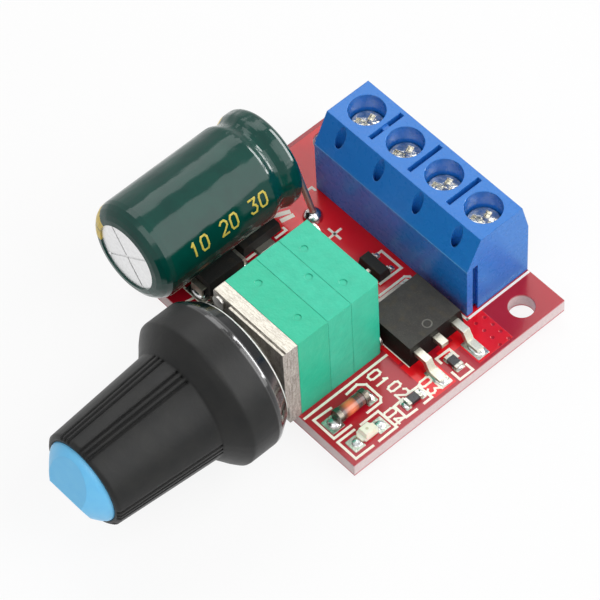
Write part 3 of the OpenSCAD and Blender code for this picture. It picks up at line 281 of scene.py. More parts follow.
# Lines of the white print on the board, as x, y points in millimetres
printing = {
    "width": 0.24,
    "height": 0.025,
    "step": 0.004,        # neighbouring bars differ this much in height
    "lines": [
        [(12.83, -7.82), (11.79, -7.84), (11.75, -9.38), (12.35, -9.38)],
        [(14.0, -7.86), (14.8, -7.84), (14.78, -9.37), (13.79, -9.37)],
        [(9.07, -17.61), (8.95, -16.3), (9.5, -15.69), (11.35, -15.69), (11.75, -16.05), (11.75, -17.6)],
        [(9.2, -19.63), (9.1, -21.57), (11.73, -21.57), (11.74, -19.6)],
        [(12.27, -19.71), (12.24, -21.6), (14.58, -21.6), (14.62, -19.63)],
        [(12.27, -18.86), (12.27, -16.85), (14.6, -16.8), (14.62, -18.86)],
        [(12.72, -13.52), (12.76, -12.5), (14.44, -12.44), (14.45, -13.33)],
        [(12.82, -14.39), (12.88, -15.48), (14.42, -15.5), (14.46, -14.3)],
        [(8.44, -12.3), (8.44, -22.0)],
        [(7.05, -11.63), (10.66, -11.63)],
        [(3.3, -8.28), (3.3, -5.3), (3.62, -4.97), (4.3, -4.97)],
        [(3.66, -8.4), (3.66, -5.45), (3.86, -5.32)],
        [(-0.2, -5.6), (-0.2, -4.86), (2.42, -4.84), (2.38, -7.4)],
        [(-7.85, -10.7), (-7.85, -9.5), (-8.2, -9.5)],
        [(-7.85, -14.2), (-7.85, -13.1)],
        [(-9.38, -20.36), (-6.47, -20.38)],
        [(-7.01, -19.6), (-7.09, -20.2)],
        [(-8.0, -20.55), (-8.16, -21.4)],
        [(-9.85, -5.3), (-9.85, -4.55), (-9.4, -4.55)],
        [(10.56, -4.45), (10.56, 3.05)],
        [(9.7, -4.5), (10.56, -4.5)],
        [(-14.3, -15.9), (-14.5, -15.9), (-14.5, -21.7), (-9.7, -21.7), (-9.7, -15.9), (-9.9, -15.9)],
        [(-6.9, -19.9), (-6.95, -21.1)],
        [(-6.9, -14.9), (-6.9, -15.9)],
    ],
    "wide": [[(-9.75, -9.1), (-9.25, -8.0)], [(-8.9, -8.95), (-8.7, -8.05)]],
    "wideWidth": 0.456,
    "plus": [[(-5.25, -6.63), (-3.8, -6.6)], [(-4.55, -5.87), (-4.5, -7.3)]],
    # plain numbers beside four small parts: digits, middle x and y
    "numbers": [("01", 9.74, -14.5), ("02", 11.87, -14.05), ("03", 13.4, -11.75), ("04", 13.65, -16.2)],
    "digitHeight": 1.15,
    "digitWidth": 0.62,
    "digitStep": 1.05,
    "digitStroke": 0.2,
    "digitLift": 3,       # steps by which the digits stand above the lines that they cross
    # strokes of each digit in a box of one by one
    "strokes": {
        "0": [[(0.2, 0), (0.8, 0), (1, 0.2), (1, 0.8), (0.8, 1), (0.2, 1), (0, 0.8), (0, 0.2), (0.2, 0)]],
        "1": [[(0.2, 0.8), (0.5, 1), (0.5, 0)]],
        "2": [[(0, 0.85), (0.25, 1), (0.75, 1), (1, 0.8), (1, 0.6), (0, 0), (1, 0)]],
        "3": [[(0, 1), (1, 1), (0.5, 0.6), (0.85, 0.5), (1, 0.3), (0.8, 0), (0.2, 0), (0, 0.15)]],
        "4": [[(0.75, 0), (0.75, 1), (0, 0.35), (1, 0.35)]],
    },
}


def stripe(bm, start, end, width, height, base):
    # flat bar between two points of the board
    start, end = Vector(start), Vector(end)
    run = end - start
    middle = (start + end) / 2
    turn = Matrix.Rotation(math.atan2(run.y, run.x), 4, "Z")
    size = Matrix.Diagonal((run.length + width, width, height, 1))
    place = Matrix.Translation((middle.x, middle.y, base + height / 2))
    bmesh.ops.create_cube(bm, size=1, matrix=place @ turn @ size)


def cutOff(bm, point, outward, near):
    # takes away what lies beyond a plane and closes the cut
    bmesh.ops.bisect_plane(bm, geom=bm.verts[:] + bm.edges[:] + bm.faces[:], dist=near, plane_co=point,
                           plane_no=outward, clear_outer=True)
    bmesh.ops.holes_fill(bm, edges=[e for e in bm.edges if e.is_boundary], sides=0)


def drawLine(bm, points, width, lift=0):
    # bars that cross get different heights, so that their tops never lie in one plane
    for i, (a, b) in enumerate(zip(points, points[1:])):
        stripe(bm, a, b, width, printing["height"] + (i % 3 + lift) * printing["step"], board["top"])


def boardPrinting():
    bm = bmesh.new()
    for line in printing["lines"] + printing["plus"]:
        drawLine(bm, line, printing["width"])
    for line in printing["wide"]:
        drawLine(bm, line, printing["wideWidth"])
    wide, tall = printing["digitWidth"], printing["digitHeight"]
    for number, x, y in printing["numbers"]:
        for i, digit in enumerate(number):
            left = x + (i - 0.5) * printing["digitStep"] - wide / 2
            low = y - tall / 2
            for line in printing["strokes"][digit]:
                points = [(left + px * wide, low + py * tall) for px, py in line]
                drawLine(bm, points, printing["digitStroke"], lift=printing["digitLift"])
    piece("boardPrinting", bm, printWhite)


boardPrinting()
print("board printed")

# Bare tinned copper on the board
pads = {
    "height": 0.035,
    "corner": 0.08,
    # x from, x to, y from, y to
    "flat": [
        (12.1, 14.45, -6.8, -5.45), (12.1, 14.45, -11.25, -9.9), (9.75, 11.4, -21.35, -19.9),
        (9.95, 11.4, -17.1, -16.0), (12.75, 14.2, -18.35, -17.1), (12.7, 14.15, -21.2, -20.0),
        (12.2, 12.85, -9.05, -8.05), (13.35, 14.1, -9.05, -8.05), (12.95, 14.05, -13.2, -12.6),
        (12.95, 14.05, -15.0, -14.4), (-6.3, -5.1, -12.1, -11.5), (-6.3, -5.1, -13.7, -13.1),
        (-4.35, -2.85, -16.2, -15.5), (-4.35, -2.85, -18.1, -17.4), (-4.35, -2.85, -12.2, -11.5),
        (-4.35, -2.85, -14.1, -13.4), (-9.3, -6.9, -20.4, -19.1), (-9.3, -6.9, -15.65, -14.4),
        (3.58, 5.4, -11.0, -5.7), (-8.3, -6.6, -13.2, -11.1), (-11.5, -10.4, -14.0, -13.3),
        (-11.5, -10.4, -12.5, -11.8), (-11.5, -10.4, -11.0, -10.3), (-6.75, -5.05, -20.3, -19.5),
        (-6.75, -5.05, -16.6, -15.8), (-0.4, 0.2, -6.1, -5.3), (1.5, 2.1, -6.1, -5.3),
        (0.55, 1.15, -8.0, -7.2),
    ],
    # two rows of four under the timer chip
    "chip": {"x": -12.18, "y": -18.8, "pitch": 1.27, "reach": 2.65, "width": 0.62, "length": 1.25},
    "ringWidth": 2.1,
    # soldered holes: capacitor, control's three and two pins, terminal block
    "holes": [
        (-7.32, -6.71), (-12.32, -6.71), (0.75, -19.03), (3.25, -19.03), (5.75, -19.03),
        (0.75, -14.05), (5.75, -14.05), (-7.1, -2.64), (-2.1, -2.64), (2.9, -2.64), (7.9, -2.64),
    ],
}


def padBox(bm, x0, x1, y0, y1):
    height = pads["height"]
    middle = Matrix.Translation(((x0 + x1) / 2, (y0 + y1) / 2, board["top"] + height / 2))
    size = Matrix.Diagonal((x1 - x0, y1 - y0, height, 1))
    made = bmesh.ops.create_cube(bm, size=1, matrix=middle @ size)
    edges = {e for v in made["verts"] for e in v.link_edges}
    upright = [e for e in edges if abs(e.verts[0].co.z - e.verts[1].co.z) > height / 2]
    bmesh.ops.bevel(bm, geom=upright, offset=pads["corner"], segments=2, profile=0.5, affect="EDGES",
                    material=-1)


def boardPads():
    bm = bmesh.new()
    for box in pads["flat"]:
        padBox(bm, *box)
    chip = pads["chip"]
    halfX, halfY = chip["width"] / 2, chip["length"] / 2
    for k in range(4):
        for side in (-1, 1):
            x = chip["x"] + (k - 1.5) * chip["pitch"]
            y = chip["y"] + side * chip["reach"]
            padBox(bm, x - halfX, x + halfX, y - halfY, y + halfY)
    piece("boardPads", bm, padTin)


def holeRings():
    # tinned copper round every soldered hole, on the underside
    radius, height = pads["ringWidth"] / 2, pads["height"]
    bm = bmesh.new()
    for x, y in pads["holes"]:
        place = Matrix.Translation((x, y, -height / 2))
        bmesh.ops.create_cone(bm, cap_ends=True, segments=32, radius1=radius, radius2=radius, depth=height,
                              matrix=place)
    piece("holeRings", bm, padTin)


boardPads()
holeRings()

# Solder that has run up against the leads, as domes cut off just above the board
solder = {
    "middle": 0.01,   # height of the domes' middles over the board
    "cut": 0.011,
    # x, y, half length along x, half width along y, height
    "domes": [
        (13.35, -6.1, 1.0, 0.56, 0.2), (13.35, -10.6, 1.0, 0.56, 0.2), (10.57, -20.5, 0.66, 0.6, 0.42),
        (10.65, -16.45, 0.58, 0.45, 0.42), (13.45, -17.75, 0.5, 0.5, 0.14), (13.4, -20.4, 0.5, 0.5, 0.14),
        (12.45, -8.55, 0.3, 0.42, 0.26), (13.78, -8.55, 0.3, 0.42, 0.26), (13.5, -12.82, 0.45, 0.28, 0.26),
        (13.5, -14.78, 0.45, 0.28, 0.26), (-8.1, -19.8, 0.95, 0.5, 0.4), (-8.1, -14.95, 0.95, 0.5, 0.4),
        (-5.9, -19.95, 0.6, 0.4, 0.55), (-5.9, -16.2, 0.6, 0.4, 0.55), (-3.6, -15.75, 0.6, 0.3, 0.5),
        (-3.6, -17.8, 0.6, 0.3, 0.5), (-3.6, -11.75, 0.6, 0.3, 0.5), (-3.6, -13.8, 0.6, 0.3, 0.5),
        (-0.1, -5.6, 0.26, 0.34, 0.24), (1.8, -5.6, 0.26, 0.34, 0.24), (0.85, -7.75, 0.26, 0.34, 0.24),
    ],
}


def solderFillets():
    middle, cut = board["top"] + solder["middle"], board["top"] + solder["cut"]
    bm = bmesh.new()
    for x, y, halfX, halfY, height in solder["domes"]:
        place = Matrix.Translation((x, y, middle)) @ Matrix.Diagonal((halfX, halfY, height, 1))
        bmesh.ops.create_uvsphere(bm, u_segments=20, v_segments=12, radius=1, matrix=place)
    cutOff(bm, (0, 0, cut), outward=(0, 0, -1), near=1e-6)
    for face in bm.faces:
        face.smooth = abs(face.normal.z) < 0.99
    piece("solderFillets", bm, solderMetal)


solderFillets()
print("pads and solder done")

# Blue terminal block
terminal = {
    "blue": paint(38, 122, 208),
    "deepBlue": paint(27, 104, 192),
    "dust": paint(140, 184, 226),
    # painted highlight: a pale line along the edge where the slope meets the front wall
    "paintedHighlight": paint(130, 190, 240),
    "highlightEdge": (8.03, 8.15),     # z of the edge where the slope meets the front wall, which carries a painted highlight
    "frontWall": -4.15,           # y
}


def terminalFinish():
    f = Finish("terminalBlue", roughness=0.3, ior=1.5, specular=0.34)
    _, y, z = f.axes()
    flow = f.spots(scale=0.5, detail=3, stretch=(1, 1, 2.2), gain=1.4, cut=0.35)
    colour = f.blend(flow * 0.35, terminal["blue"], terminal["deepBlue"])
    colour = f.blend(f.spots(scale=7, detail=4, gain=2.4, cut=1.45) * 0.12, colour, terminal["dust"])
    # painted highlight along the slope's lower edge, uneven along its length
    edge = f.band(z, *terminal["highlightEdge"], soft=0.03) * (y < terminal["frontWall"])
    paintedHighlight = edge * (0.35 + f.noise(scale=1.5, detail=3) * 0.6)
    f.feed("colour", f.blend(paintedHighlight.clamp(), colour, terminal["paintedHighlight"]))
    f.feed("roughness", 0.22 + f.noise(scale=1.4, detail=3) * 0.12)
    f.relief(f.noise(scale=14, detail=3) * 0.4 + f.noise(scale=0.8, detail=2) * 1.2, depth=0.02, edge=0.12)
    return f


dress(terminalFinish(), "terminal_housing")


def screwFinish():
    f = Finish("screwZinc", metallic=1.0)
    dull = f.spots(scale=2.2, detail=3, gain=1.6, cut=0.5)
    f.feed("colour", f.blend(dull, paint(236, 234, 224), paint(176, 173, 160)))
    f.feed("roughness", 0.14 + f.noise(scale=6, detail=3) * 0.14)
    f.relief(f.noise(scale=1.6, detail=2), depth=0.09, edge=0.12)
    return f


def brassFinish():
    f = Finish("clampBrass", metallic=1.0)
    dull = f.spots(scale=3, detail=4, gain=1.5, cut=0.4)
    f.feed("colour", f.blend(dull, paint(214, 182, 110), paint(176, 138, 70)))
    f.feed("roughness", 0.28 + f.noise(scale=7, detail=3) * 0.2)
    f.relief(f.noise(scale=9, detail=3, stretch=(1, 1, 5)), depth=0.015, edge=0.05)
    return f


# Power transistor
transistor = {
    "tabEnd": 8.0,                         # x where the tab ends and the leads begin
    "tab": paint(112, 110, 106),
    "ejectorMarks": [(9.6, -8.4, 0.42)],   # x, y, radius
}


def tabFinish():
    # tin that is bright on the bent leads and dull on the tab
    f = Finish("tabTin", metallic=1.0)
    x, _, _ = f.axes()
    tab = 1 - f.step(x, transistor["tabEnd"], soft=0.5)
    tin = f.blend(f.spots(scale=8, detail=4, gain=1.5, cut=0.4), paint(204, 202, 188), paint(166, 163, 148))
    f.feed("colour", f.blend(tab * 0.85, tin, transistor["tab"]))
    f.feed("roughness", 0.32 + f.noise(scale=8, detail=4) * 0.16)
    f.relief(f.noise(scale=6, detail=3), depth=0.02, edge=0.05)
    return f


dress(screwFinish(), "terminal_screw_1", "terminal_screw_2", "terminal_screw_3", "terminal_screw_4")
dress(brassFinish(), "wire_clamp_1", "wire_clamp_2", "wire_clamp_3", "wire_clamp_4", "switch_blade",
      "wiper_spring")
dress(tabFinish(), "transistor_leads")
dress(leadTin, "terminal_contacts", "resistor_pins", "switch_contacts", "flyback_diode_leads",
      "regulator_leads", "timer_chip_leads", "gate_transistor_leads", "capacitor_leads")
dress(solderMetal, "board_solder")
dress(padTin, "resistor_ends", "chip_capacitor_ends")


# Green rotary control and its cast front plate
control = {
    "green": paint(50, 200, 164),
    "deepGreen": paint(38, 176, 142),
    "frontGreen": paint(22, 186, 140),
    "dust": paint(110, 226, 196),
    "frontHousingEnd": -18.35,        # y
    "plateLedge": (-23.33, -23.13),   # y of the dark line of painted shade along the plate's ground top edge
    "plateDark": paint(70, 64, 58),
}


def plateFinish():
    # ground top edge with saw marks, and a dark line of painted shade along its ledge; grainy cast faces
    f = Finish("dieCastPlate", metallic=1.0)
    _, y, _ = f.axes()
    ground = f.step(f.upward(), 0.6, soft=0.1)
    marks = f.noise(scale=1.6, detail=5, stretch=(1, 6, 1)) * 0.6 + f.noise(scale=7, detail=4) * 0.4
    grain = f.noise(scale=6, detail=5)
    pits = f.spots(scale=10, detail=3, gain=3, cut=1.9)
    bright = f.blend((marks * 2.6 - 1.05).clamp() * 0.8, paint(184, 180, 170), paint(88, 82, 74))
    streaks = f.noise(scale=1.5, detail=5, stretch=(1, 4, 0.5))
    cast = f.blend((grain * 1.1 + streaks * 1.3 - 0.75).clamp(), paint(206, 202, 196), paint(116, 108, 100))
    colour = f.blend(ground, cast, bright)
    # painted shade: a dark line along the ledge stands for the shade of a step that is otherwise only a bump
    ledge = f.band(y, *control["plateLedge"], soft=0.03)
    groove = ledge * ground * (0.4 + f.noise(scale=1.8, detail=4, stretch=(1, 3, 1)) * 0.9)
    f.feed("colour", f.blend((pits * 0.4 + groove).clamp(), colour, control["plateDark"]))
    f.feed("roughness", 0.5 - ground * 0.12 + grain * 0.2)
    f.relief(grain * (1.3 - ground) + marks * ground * 0.5 - pits * 0.6 - groove * 2, depth=0.05, edge=0.1)
    return f


def controlFinish():
    f = Finish("controlGreen", roughness=0.36, ior=1.5, specular=0.35)
    _, y, _ = f.axes()
    fineStretch = (1, 1, 0.6)
    clouds = f.spots(scale=0.9, detail=4, gain=1.7, cut=0.4)
    colour = f.blend(clouds * 0.6, control["green"], control["deepGreen"])
    # the front housing is a little deeper in tone
    front = 1 - f.step(y, control["frontHousingEnd"], soft=0.03)
    colour = f.blend(front * 0.35, colour, control["frontGreen"])
    dust = f.spots(scale=5, detail=4, stretch=fineStretch, gain=2, cut=1.15)
    f.feed("colour", f.blend(dust * 0.3, colour, control["dust"]))
    f.feed("roughness", 0.3 + f.noise(scale=2.4, detail=3) * 0.16)
    height = f.noise(scale=5, detail=4, stretch=fineStretch) * 0.5 + f.noise(scale=1.1, detail=2) * 1.6
    f.relief(height, depth=0.03, edge=0.12)
    return f


def plainFinish(name, colour, second, roughness, bump=0.02, metallic=0.0):
    # moulded or rolled piece with a fine grain and some change of tone
    grain = 4.0
    f = Finish(name, metallic=metallic)
    f.feed("colour", f.blend(f.spots(scale=grain, detail=4, gain=1.6, cut=0.45), colour, second))
    f.feed("roughness", roughness + (f.noise(scale=grain * 1.7, detail=3) - 0.5) * 0.2)
    f.relief(f.noise(scale=grain * 2.5, detail=3), depth=bump, edge=0.05)
    return f


dress(plateFinish(), "control_front_plate")
dress(controlFinish(), "resistor_housing", "middle_housing", "switch_housing")
dress(plainFinish("rivetMetal", paint(206, 204, 198), paint(150, 148, 142), roughness=0.32, metallic=1.0),
      "housing_rivets")
dress(plainFinish("waferLaminate", paint(150, 96, 54), paint(112, 66, 34), roughness=0.55), "resistor_wafer")
dress(plainFinish("carrierPlastic", paint(232, 228, 212), paint(206, 200, 180), roughness=0.45),
      "wiper_carrier")


def shaftFinish():
    f = Finish("shaftAluminium", metallic=1.0)
    turning = f.noise(scale=2.0, detail=3, stretch=(1, 14, 1))
    f.feed("colour", f.blend(turning, paint(214, 214, 216), paint(170, 170, 172)))
    f.feed("roughness", 0.2 + turning * 0.16)
    f.relief(turning, depth=0.02, edge=0.08)
    return f


# Black knob on the control's shaft
knob = {
    "axis": (3.25, 7.51),     # x and z
    "rear": -24.75,           # y of the rim's rear face
    "rimRadius": 6.4,
    "highlightWidth": 0.06,        # the painted highlight reaches this far in from the rim's edge
    "highlightDepth": 0.24,        # and this far forward from its rear face
    "bevelFrom": -26.33,      # y where the skirt turns into its rear bevel
    "polish": 0.28,           # the polished edge begins this far before the bevel
    "gleam": (-0.4, 0.25),    # the coat lies from and to here, counted from the bevel
    "black": paint(36, 36, 35),
    "deepBlack": paint(25, 26, 27),
    "scuff": paint(80, 80, 78),
    # painted shade: the bevel band's darker colour stands in for the dark reflection it shows
    "bevel": paint(12, 13, 15),
    # painted highlight: a near-white line on the rim's rear edge
    "paintedHighlight": paint(244, 244, 240),
}


def knobFinish():
    f = Finish("knobBlack", ior=1.5, specular=0.2, coatRoughness=0.06)
    x, y, z = f.axes()
    radius = distance(x, z, knob["axis"])
    grain = f.noise(scale=9, detail=4)
    colour = f.blend(f.spots(scale=0.6, detail=4, gain=1.6, cut=0.4), knob["black"], knob["deepBlack"])
    scuffs = f.spots(scale=3, detail=4, stretch=(0.6, 3, 1), gain=3.4, cut=2.2)
    # the rounded edge and the bevel behind the skirt are polished; the bevel's darker colour is painted
    # shade, and a pale painted highlight lies on the rim's rear edge
    bevel = f.step(y, knob["bevelFrom"] - knob["polish"], soft=0.06)
    # mask of the painted highlight along the rim's rear edge
    edge = f.step(radius, knob["rimRadius"] - knob["highlightWidth"], soft=0.03)
    edge = edge * f.step(y, knob["rear"] - knob["highlightDepth"], soft=0.04)
    paintedHighlight = (edge * (0.7 + f.noise(scale=1.5, detail=3) * 0.6)).clamp()
    # the bevel band takes the darker colour of painted shade
    colour = f.blend(bevel, f.blend(scuffs * 0.25, colour, knob["scuff"]), knob["bevel"])
    f.feed("colour", f.blend(paintedHighlight, colour, knob["paintedHighlight"]))
    f.feed("roughness", (0.36 + grain * 0.12 + scuffs * 0.1) * (1 - bevel * 0.7))
    gleam = [knob["bevelFrom"] + offset for offset in knob["gleam"]]
    f.feed("coat", f.band(y, *gleam, soft=0.06))
    f.relief((grain * 0.4 + f.noise(scale=1.2, detail=2) * 0.8) * (1 - bevel * 0.95), depth=0.02, edge=0.4)
    return f


dress(shaftFinish(), "control_shaft")
dress(knobFinish(), "knob_body")

# Blue cap: a dome of revolution cut by two slanted faces that meet in a ridge
cap = {
    "front": -42.37,          # y of the grip's front face
    "seat": 0.78,             # depth of the part inside the grip
    # radius and height of the dome's outline
    "profile": [
        (4.06, 0.0), (4.0, 0.2), (3.84, 0.42), (3.6, 0.66), (3.3, 0.94), (3.0, 1.2), (2.66, 1.5),
        (2.34, 1.74), (1.98, 1.99), (0, 2.01),
    ],
    "ridgeHeight": 1.99,
    "ridgeSlope": 20.5,       # degrees
    "segments": 128,
    "flatArea": 2.0,          # faces larger than this are the two slanted ones
    "blue": paint(120, 208, 255),
    "deepBlue": paint(98, 194, 253),
}


def capFinish():
    f = Finish("capBlue", roughness=0.34, ior=1.5)
    clouds = f.spots(scale=1.2, detail=4, gain=1.5, cut=0.35)
    f.feed("colour", f.blend(clouds * 0.5, cap["blue"], cap["deepBlue"]))
    f.feed("roughness", 0.3 + f.noise(scale=5, detail=3) * 0.14)
    f.relief(f.noise(scale=8, detail=3) * 0.5 + f.noise(scale=0.8, detail=2), depth=0.02, edge=0.16)
    return f


def knobCapDome():
    # modelled with the axis along z, then laid along -y
    bm = bmesh.new()
    points = [(0, -cap["seat"]), (cap["profile"][0][0], -cap["seat"])] + cap["profile"]
    verts = [bm.verts.new((r, 0, h)) for r, h in points]
    edges = [bm.edges.new(pair) for pair in zip(verts, verts[1:])]
    bmesh.ops.spin(bm, geom=verts + edges, cent=(0, 0, 0), axis=(0, 0, 1), angle=2 * math.pi,
                   steps=cap["segments"], use_merge=True)
    bmesh.ops.remove_doubles(bm, verts=bm.verts, dist=1e-4)
    slope = math.radians(cap["ridgeSlope"])
    for side in (-1, 1):
        outward = (0, side * math.sin(slope), math.cos(slope))
        cutOff(bm, (0, 0, cap["ridgeHeight"]), outward, near=1e-5)
    bmesh.ops.recalc_face_normals(bm, faces=bm.faces)
    flats = [f for f in bm.faces if f.calc_area() > cap["flatArea"]]
    for face in bm.faces:
        face.smooth = face not in flats
    for edge in {e for f in flats for e in f.edges}:
        edge.smooth = False
    middle = Matrix.Translation((knob["axis"][0], cap["front"], knob["axis"][1]))
    bmesh.ops.transform(bm, matrix=middle @ Matrix.Rotation(math.radians(90), 4, "X"), verts=bm.verts)
    made = piece("knobCapDome", bm, capFinish(), body="speed_knob")
    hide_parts("knob_cap")


knobCapDome()
print("control and knob done")

# Storage capacitor, lying on the board
capacitor = {
    "leadEnd": (-11.72, -7.96, 8.0),   # middle of the end with the leads
    "turn": 1.35,                      # degrees between its axis and the board's -y
    "tilt": 2.0,                       # degrees that its far end rises
    "groove": 2.4,                     # distance of the pressed groove from the lead end
    "grooveReach": 1.6,                # the film is wavier this far from the groove
    "sleeve": paint(2, 70, 60),
    "sleeveDeep": paint(2, 38, 38),
    "print": paint(222, 192, 74),
    "stripeAngle": 168,                # degrees round the can, 0 towards the board's right
    "stripeHalf": 21,                  # degrees
    "stripeLine": 1.1,                 # degrees, half the width of the dark line in the stripe
    "barPitch": 1.9,
    "barHalf": 0.28,
    "barSpan": (1.5, 15.3),            # bars lie between these distances from the lead end
}


def sleeveFinish():
    f = Finish("sleeveTeal", ior=1.5, specular=0.3, coatRoughness=0.05)
    turn, tilt = math.radians(capacitor["turn"]), math.radians(capacitor["tilt"])
    lead = capacitor["leadEnd"]
    x, y, z = f.axes()
    along = (x - lead[0]) * math.sin(turn) - (y - lead[1]) * math.cos(turn)
    across = (x - lead[0]) * math.cos(turn) + (y - lead[1]) * math.sin(turn)
    rise = z - lead[2] - along * math.tan(tilt)
    angle = along.sum("ARCTAN2", rise, across) * (180 / math.pi)
    angle = angle + (angle < 0) * 360
    half = capacitor["stripeHalf"]
    off = abs(angle - capacitor["stripeAngle"])
    stripe = (1 - f.step(off, half, soft=0.6)) * f.step(off, capacitor["stripeLine"], soft=0.4)
    # short bars across the stripe mark the negative lead
    bars = 1 - f.step(along.sum("PINGPONG", along, capacitor["barPitch"]), capacitor["barHalf"], soft=0.03)
    bars = bars * (1 - f.step(off, half * 0.55, soft=0.6))
    minus = bars * f.band(along, *capacitor["barSpan"])
    stripe = stripe * (1 - minus)
    clouds = f.spots(scale=0.5, detail=3, gain=1.4, cut=0.3)
    film = f.blend(clouds * 0.6, capacitor["sleeve"], capacitor["sleeveDeep"])
    f.feed("colour", f.blend(stripe, film, capacitor["print"]))
    f.feed("roughness", 0.1 + stripe * 0.2 + f.noise(scale=3, detail=3) * 0.05)
    # shrunk film is a little wavy, most of all by the groove
    near = 1 - f.step(abs(along - capacitor["groove"]), capacitor["grooveReach"], soft=1.2)
    waves = f.noise(scale=0.4, detail=2, stretch=(1, 0.5, 1)) * (0.5 + near * 1.2)
    f.relief(waves + f.noise(scale=6, detail=2) * 0.01, depth=0.28)
    return f


def canFinish():
    f = Finish("canAluminium", metallic=1.0)
    tarnish = f.spots(scale=3.5, detail=4, gain=1.6, cut=0.5) * 0.5
    f.feed("colour", f.blend(tarnish, paint(236, 236, 236), paint(196, 196, 198)))
    f.feed("roughness", 0.3 + f.noise(scale=8, detail=3) * 0.12)
    f.relief(f.noise(scale=7, detail=3), depth=0.012, edge=0.04)
    return f


# Plain gold numbers along the sleeve, each stroke laid on it in short bars
sleeveNumbers = {
    "text": "10 20 30",
    "start": 13.3,        # distance of the first digit from the lead end
    "pitch": 1.16,
    "foot": 13,           # degrees round the can
    "height": 1.45,
    "width": 0.74,
    "stroke": 0.2,
    "thickness": 0.04,
    "step": 0.003,        # neighbouring bars differ this much in height
    "radius": 5.0,
    "barLength": 0.3,
    "overlap": 0.12,      # how much longer each bar is, so that bars join
}


def onSleeve(point, lift):
    # place on the sleeve and its outward direction; the point is distance along and arc round the can
    turn, tilt = math.radians(capacitor["turn"]), math.radians(capacitor["tilt"])
    along = Vector((math.sin(turn) * math.cos(tilt), -math.cos(turn) * math.cos(tilt), math.sin(tilt)))
    across = Vector((math.cos(turn), math.sin(turn), 0))
    radius = sleeveNumbers["radius"]
    angle = math.radians(sleeveNumbers["foot"]) + point[1] / radius
    outward = across * math.cos(angle) + along.cross(across) * math.sin(angle)
    return Vector(capacitor["leadEnd"]) + along * point[0] + outward * (radius + lift), outward


def sleeveBar(bm, start, end, lift):
    first, normal = onSleeve(start, lift)
    second, _ = onSleeve(end, lift)
    run = second - first
    side = normal.cross(run).normalized()
    turn = Matrix((run.normalized(), side, run.normalized().cross(side))).transposed().to_4x4()
    size = Matrix.Diagonal((run.length + sleeveNumbers["overlap"], sleeveNumbers["stroke"],
                            sleeveNumbers["thickness"], 1))
    bmesh.ops.create_cube(bm, size=1, matrix=Matrix.Translation((first + second) / 2) @ turn @ size)


def goldNumbers():
    style = sleeveNumbers
    bm = bmesh.new()
    for i, digit in enumerate(style["text"]):
        left = style["start"] - i * style["pitch"]
        for line in printing["strokes"].get(digit, []):
            points = [Vector((left - px * style["width"], py * style["height"])) for px, py in line]
            for k, (a, b) in enumerate(zip(points, points[1:])):
                bars = max(1, round((b - a).length / style["barLength"]))
                for j in range(bars):
                    sleeveBar(bm, a.lerp(b, j / bars), a.lerp(b, (j + 1) / bars), (k % 3) * style["step"])
    gold = plainFinish("printGold", paint(226, 204, 84), paint(206, 180, 60), roughness=0.4)
    piece("sleeveNumbers", bm, gold)


goldNumbers()
dress(sleeveFinish(), "capacitor_sleeve")
dress(canFinish(), "capacitor_can")
dress(plainFinish("windingPaper", paint(205, 180, 138), paint(180, 150, 104), roughness=0.8),
      "capacitor_winding")
dress(plainFinish("bungRubber", paint(34, 34, 35), paint(24, 24, 25), roughness=0.62, bump=0.03),
      "capacitor_bung")
print("capacitor done")


def mouldFinish(name, colour, fleck, marks=(), paintedSideShade=0.0):
    # speckled moulding compound, with round ejector marks at the given places: x, y, radius; faces that do
    # not face up can be darkened by painted shade
    f = Finish(name, specular=0.14)
    x, y, _ = f.axes()
    up = f.upward()
    specks = f.spots(scale=11, detail=4, gain=3.2, cut=1.75)
    tone = f.blend(f.spots(scale=1.4, detail=3, gain=1.5, cut=0.4) * 0.5, colour, paint(38, 37, 36))
    tone = f.blend(f.spots(scale=1.1, detail=4, gain=3, cut=1.6) * 0.3, tone, paint(104, 88, 56))
    tone = f.blend(specks * 0.32, tone, fleck)
    # painted shade: sides that do not face up turn darker by the given share
    tone = f.blend((1 - f.step(up, 0.6, soft=0.15)) * paintedSideShade, tone, paint(14, 14, 13))
    height = f.noise(scale=9, detail=4) * 0.8
    line = 0.07   # half the width of a mark's line
    for cx, cy, radius in marks:
        ring = f.band(distance(x, y, (cx, cy)), radius - line, radius + line, soft=0.04)
        ring = ring * f.step(up, 0.7, soft=0.1)
        tone = f.blend(ring * 0.4, tone, paint(150, 146, 138))
        height = height - ring * 1.5
    f.feed("colour", tone)
    f.feed("roughness", 0.52 + specks * 0.15)
    f.relief(height, depth=0.03, edge=0.07)
    return f


dress(mouldFinish("transistorMould", paint(67, 65, 62), paint(128, 120, 104), transistor["ejectorMarks"],
                  paintedSideShade=1.0), "transistor_body")
dress(mouldFinish("chipMould", paint(44, 43, 42), paint(96, 92, 86)), "timer_chip", "gate_transistor",
      "regulator", "flyback_diode")
dress(plainFinish("resistorFilm", paint(30, 31, 33), paint(52, 54, 58), roughness=0.3), "chip_resistors")
dress(plainFinish("chipCeramic", paint(176, 140, 98), paint(150, 112, 74), roughness=0.5), "chip_capacitors")
dress(plainFinish("lampGold", paint(224, 188, 108), paint(196, 156, 78), roughness=0.3, metallic=1.0),
      "indicator_lamp_ends")

# Two glass diodes that lie along y
diode = {
    "between": 2,                 # x between the two
    "rightMiddle": -18.5,         # y
    "leftMiddle": -18.05,
    "glow": paint(240, 120, 66),
    "glass": paint(96, 38, 26),
    "slug": paint(70, 52, 48),
    "band": paint(22, 18, 20),
    "tint": paint(200, 90, 40),
    "glowPlace": (-0.25, 0.5),    # middle and half length, measured from the diode's middle
    "bandPlace": (0.42, 0.86),
    "slugFrom": 1.0,
}

# Indicator lamp, with a pale spot on its top
lamp = {
    "resin": paint(255, 250, 232),
    "deepResin": paint(240, 232, 204),
    "spot": paint(170, 156, 96),
    "middle": (13.3, -19.1),
    "spotRadius": 0.14,
    "top": 2.2,           # z above which the spot shows
}


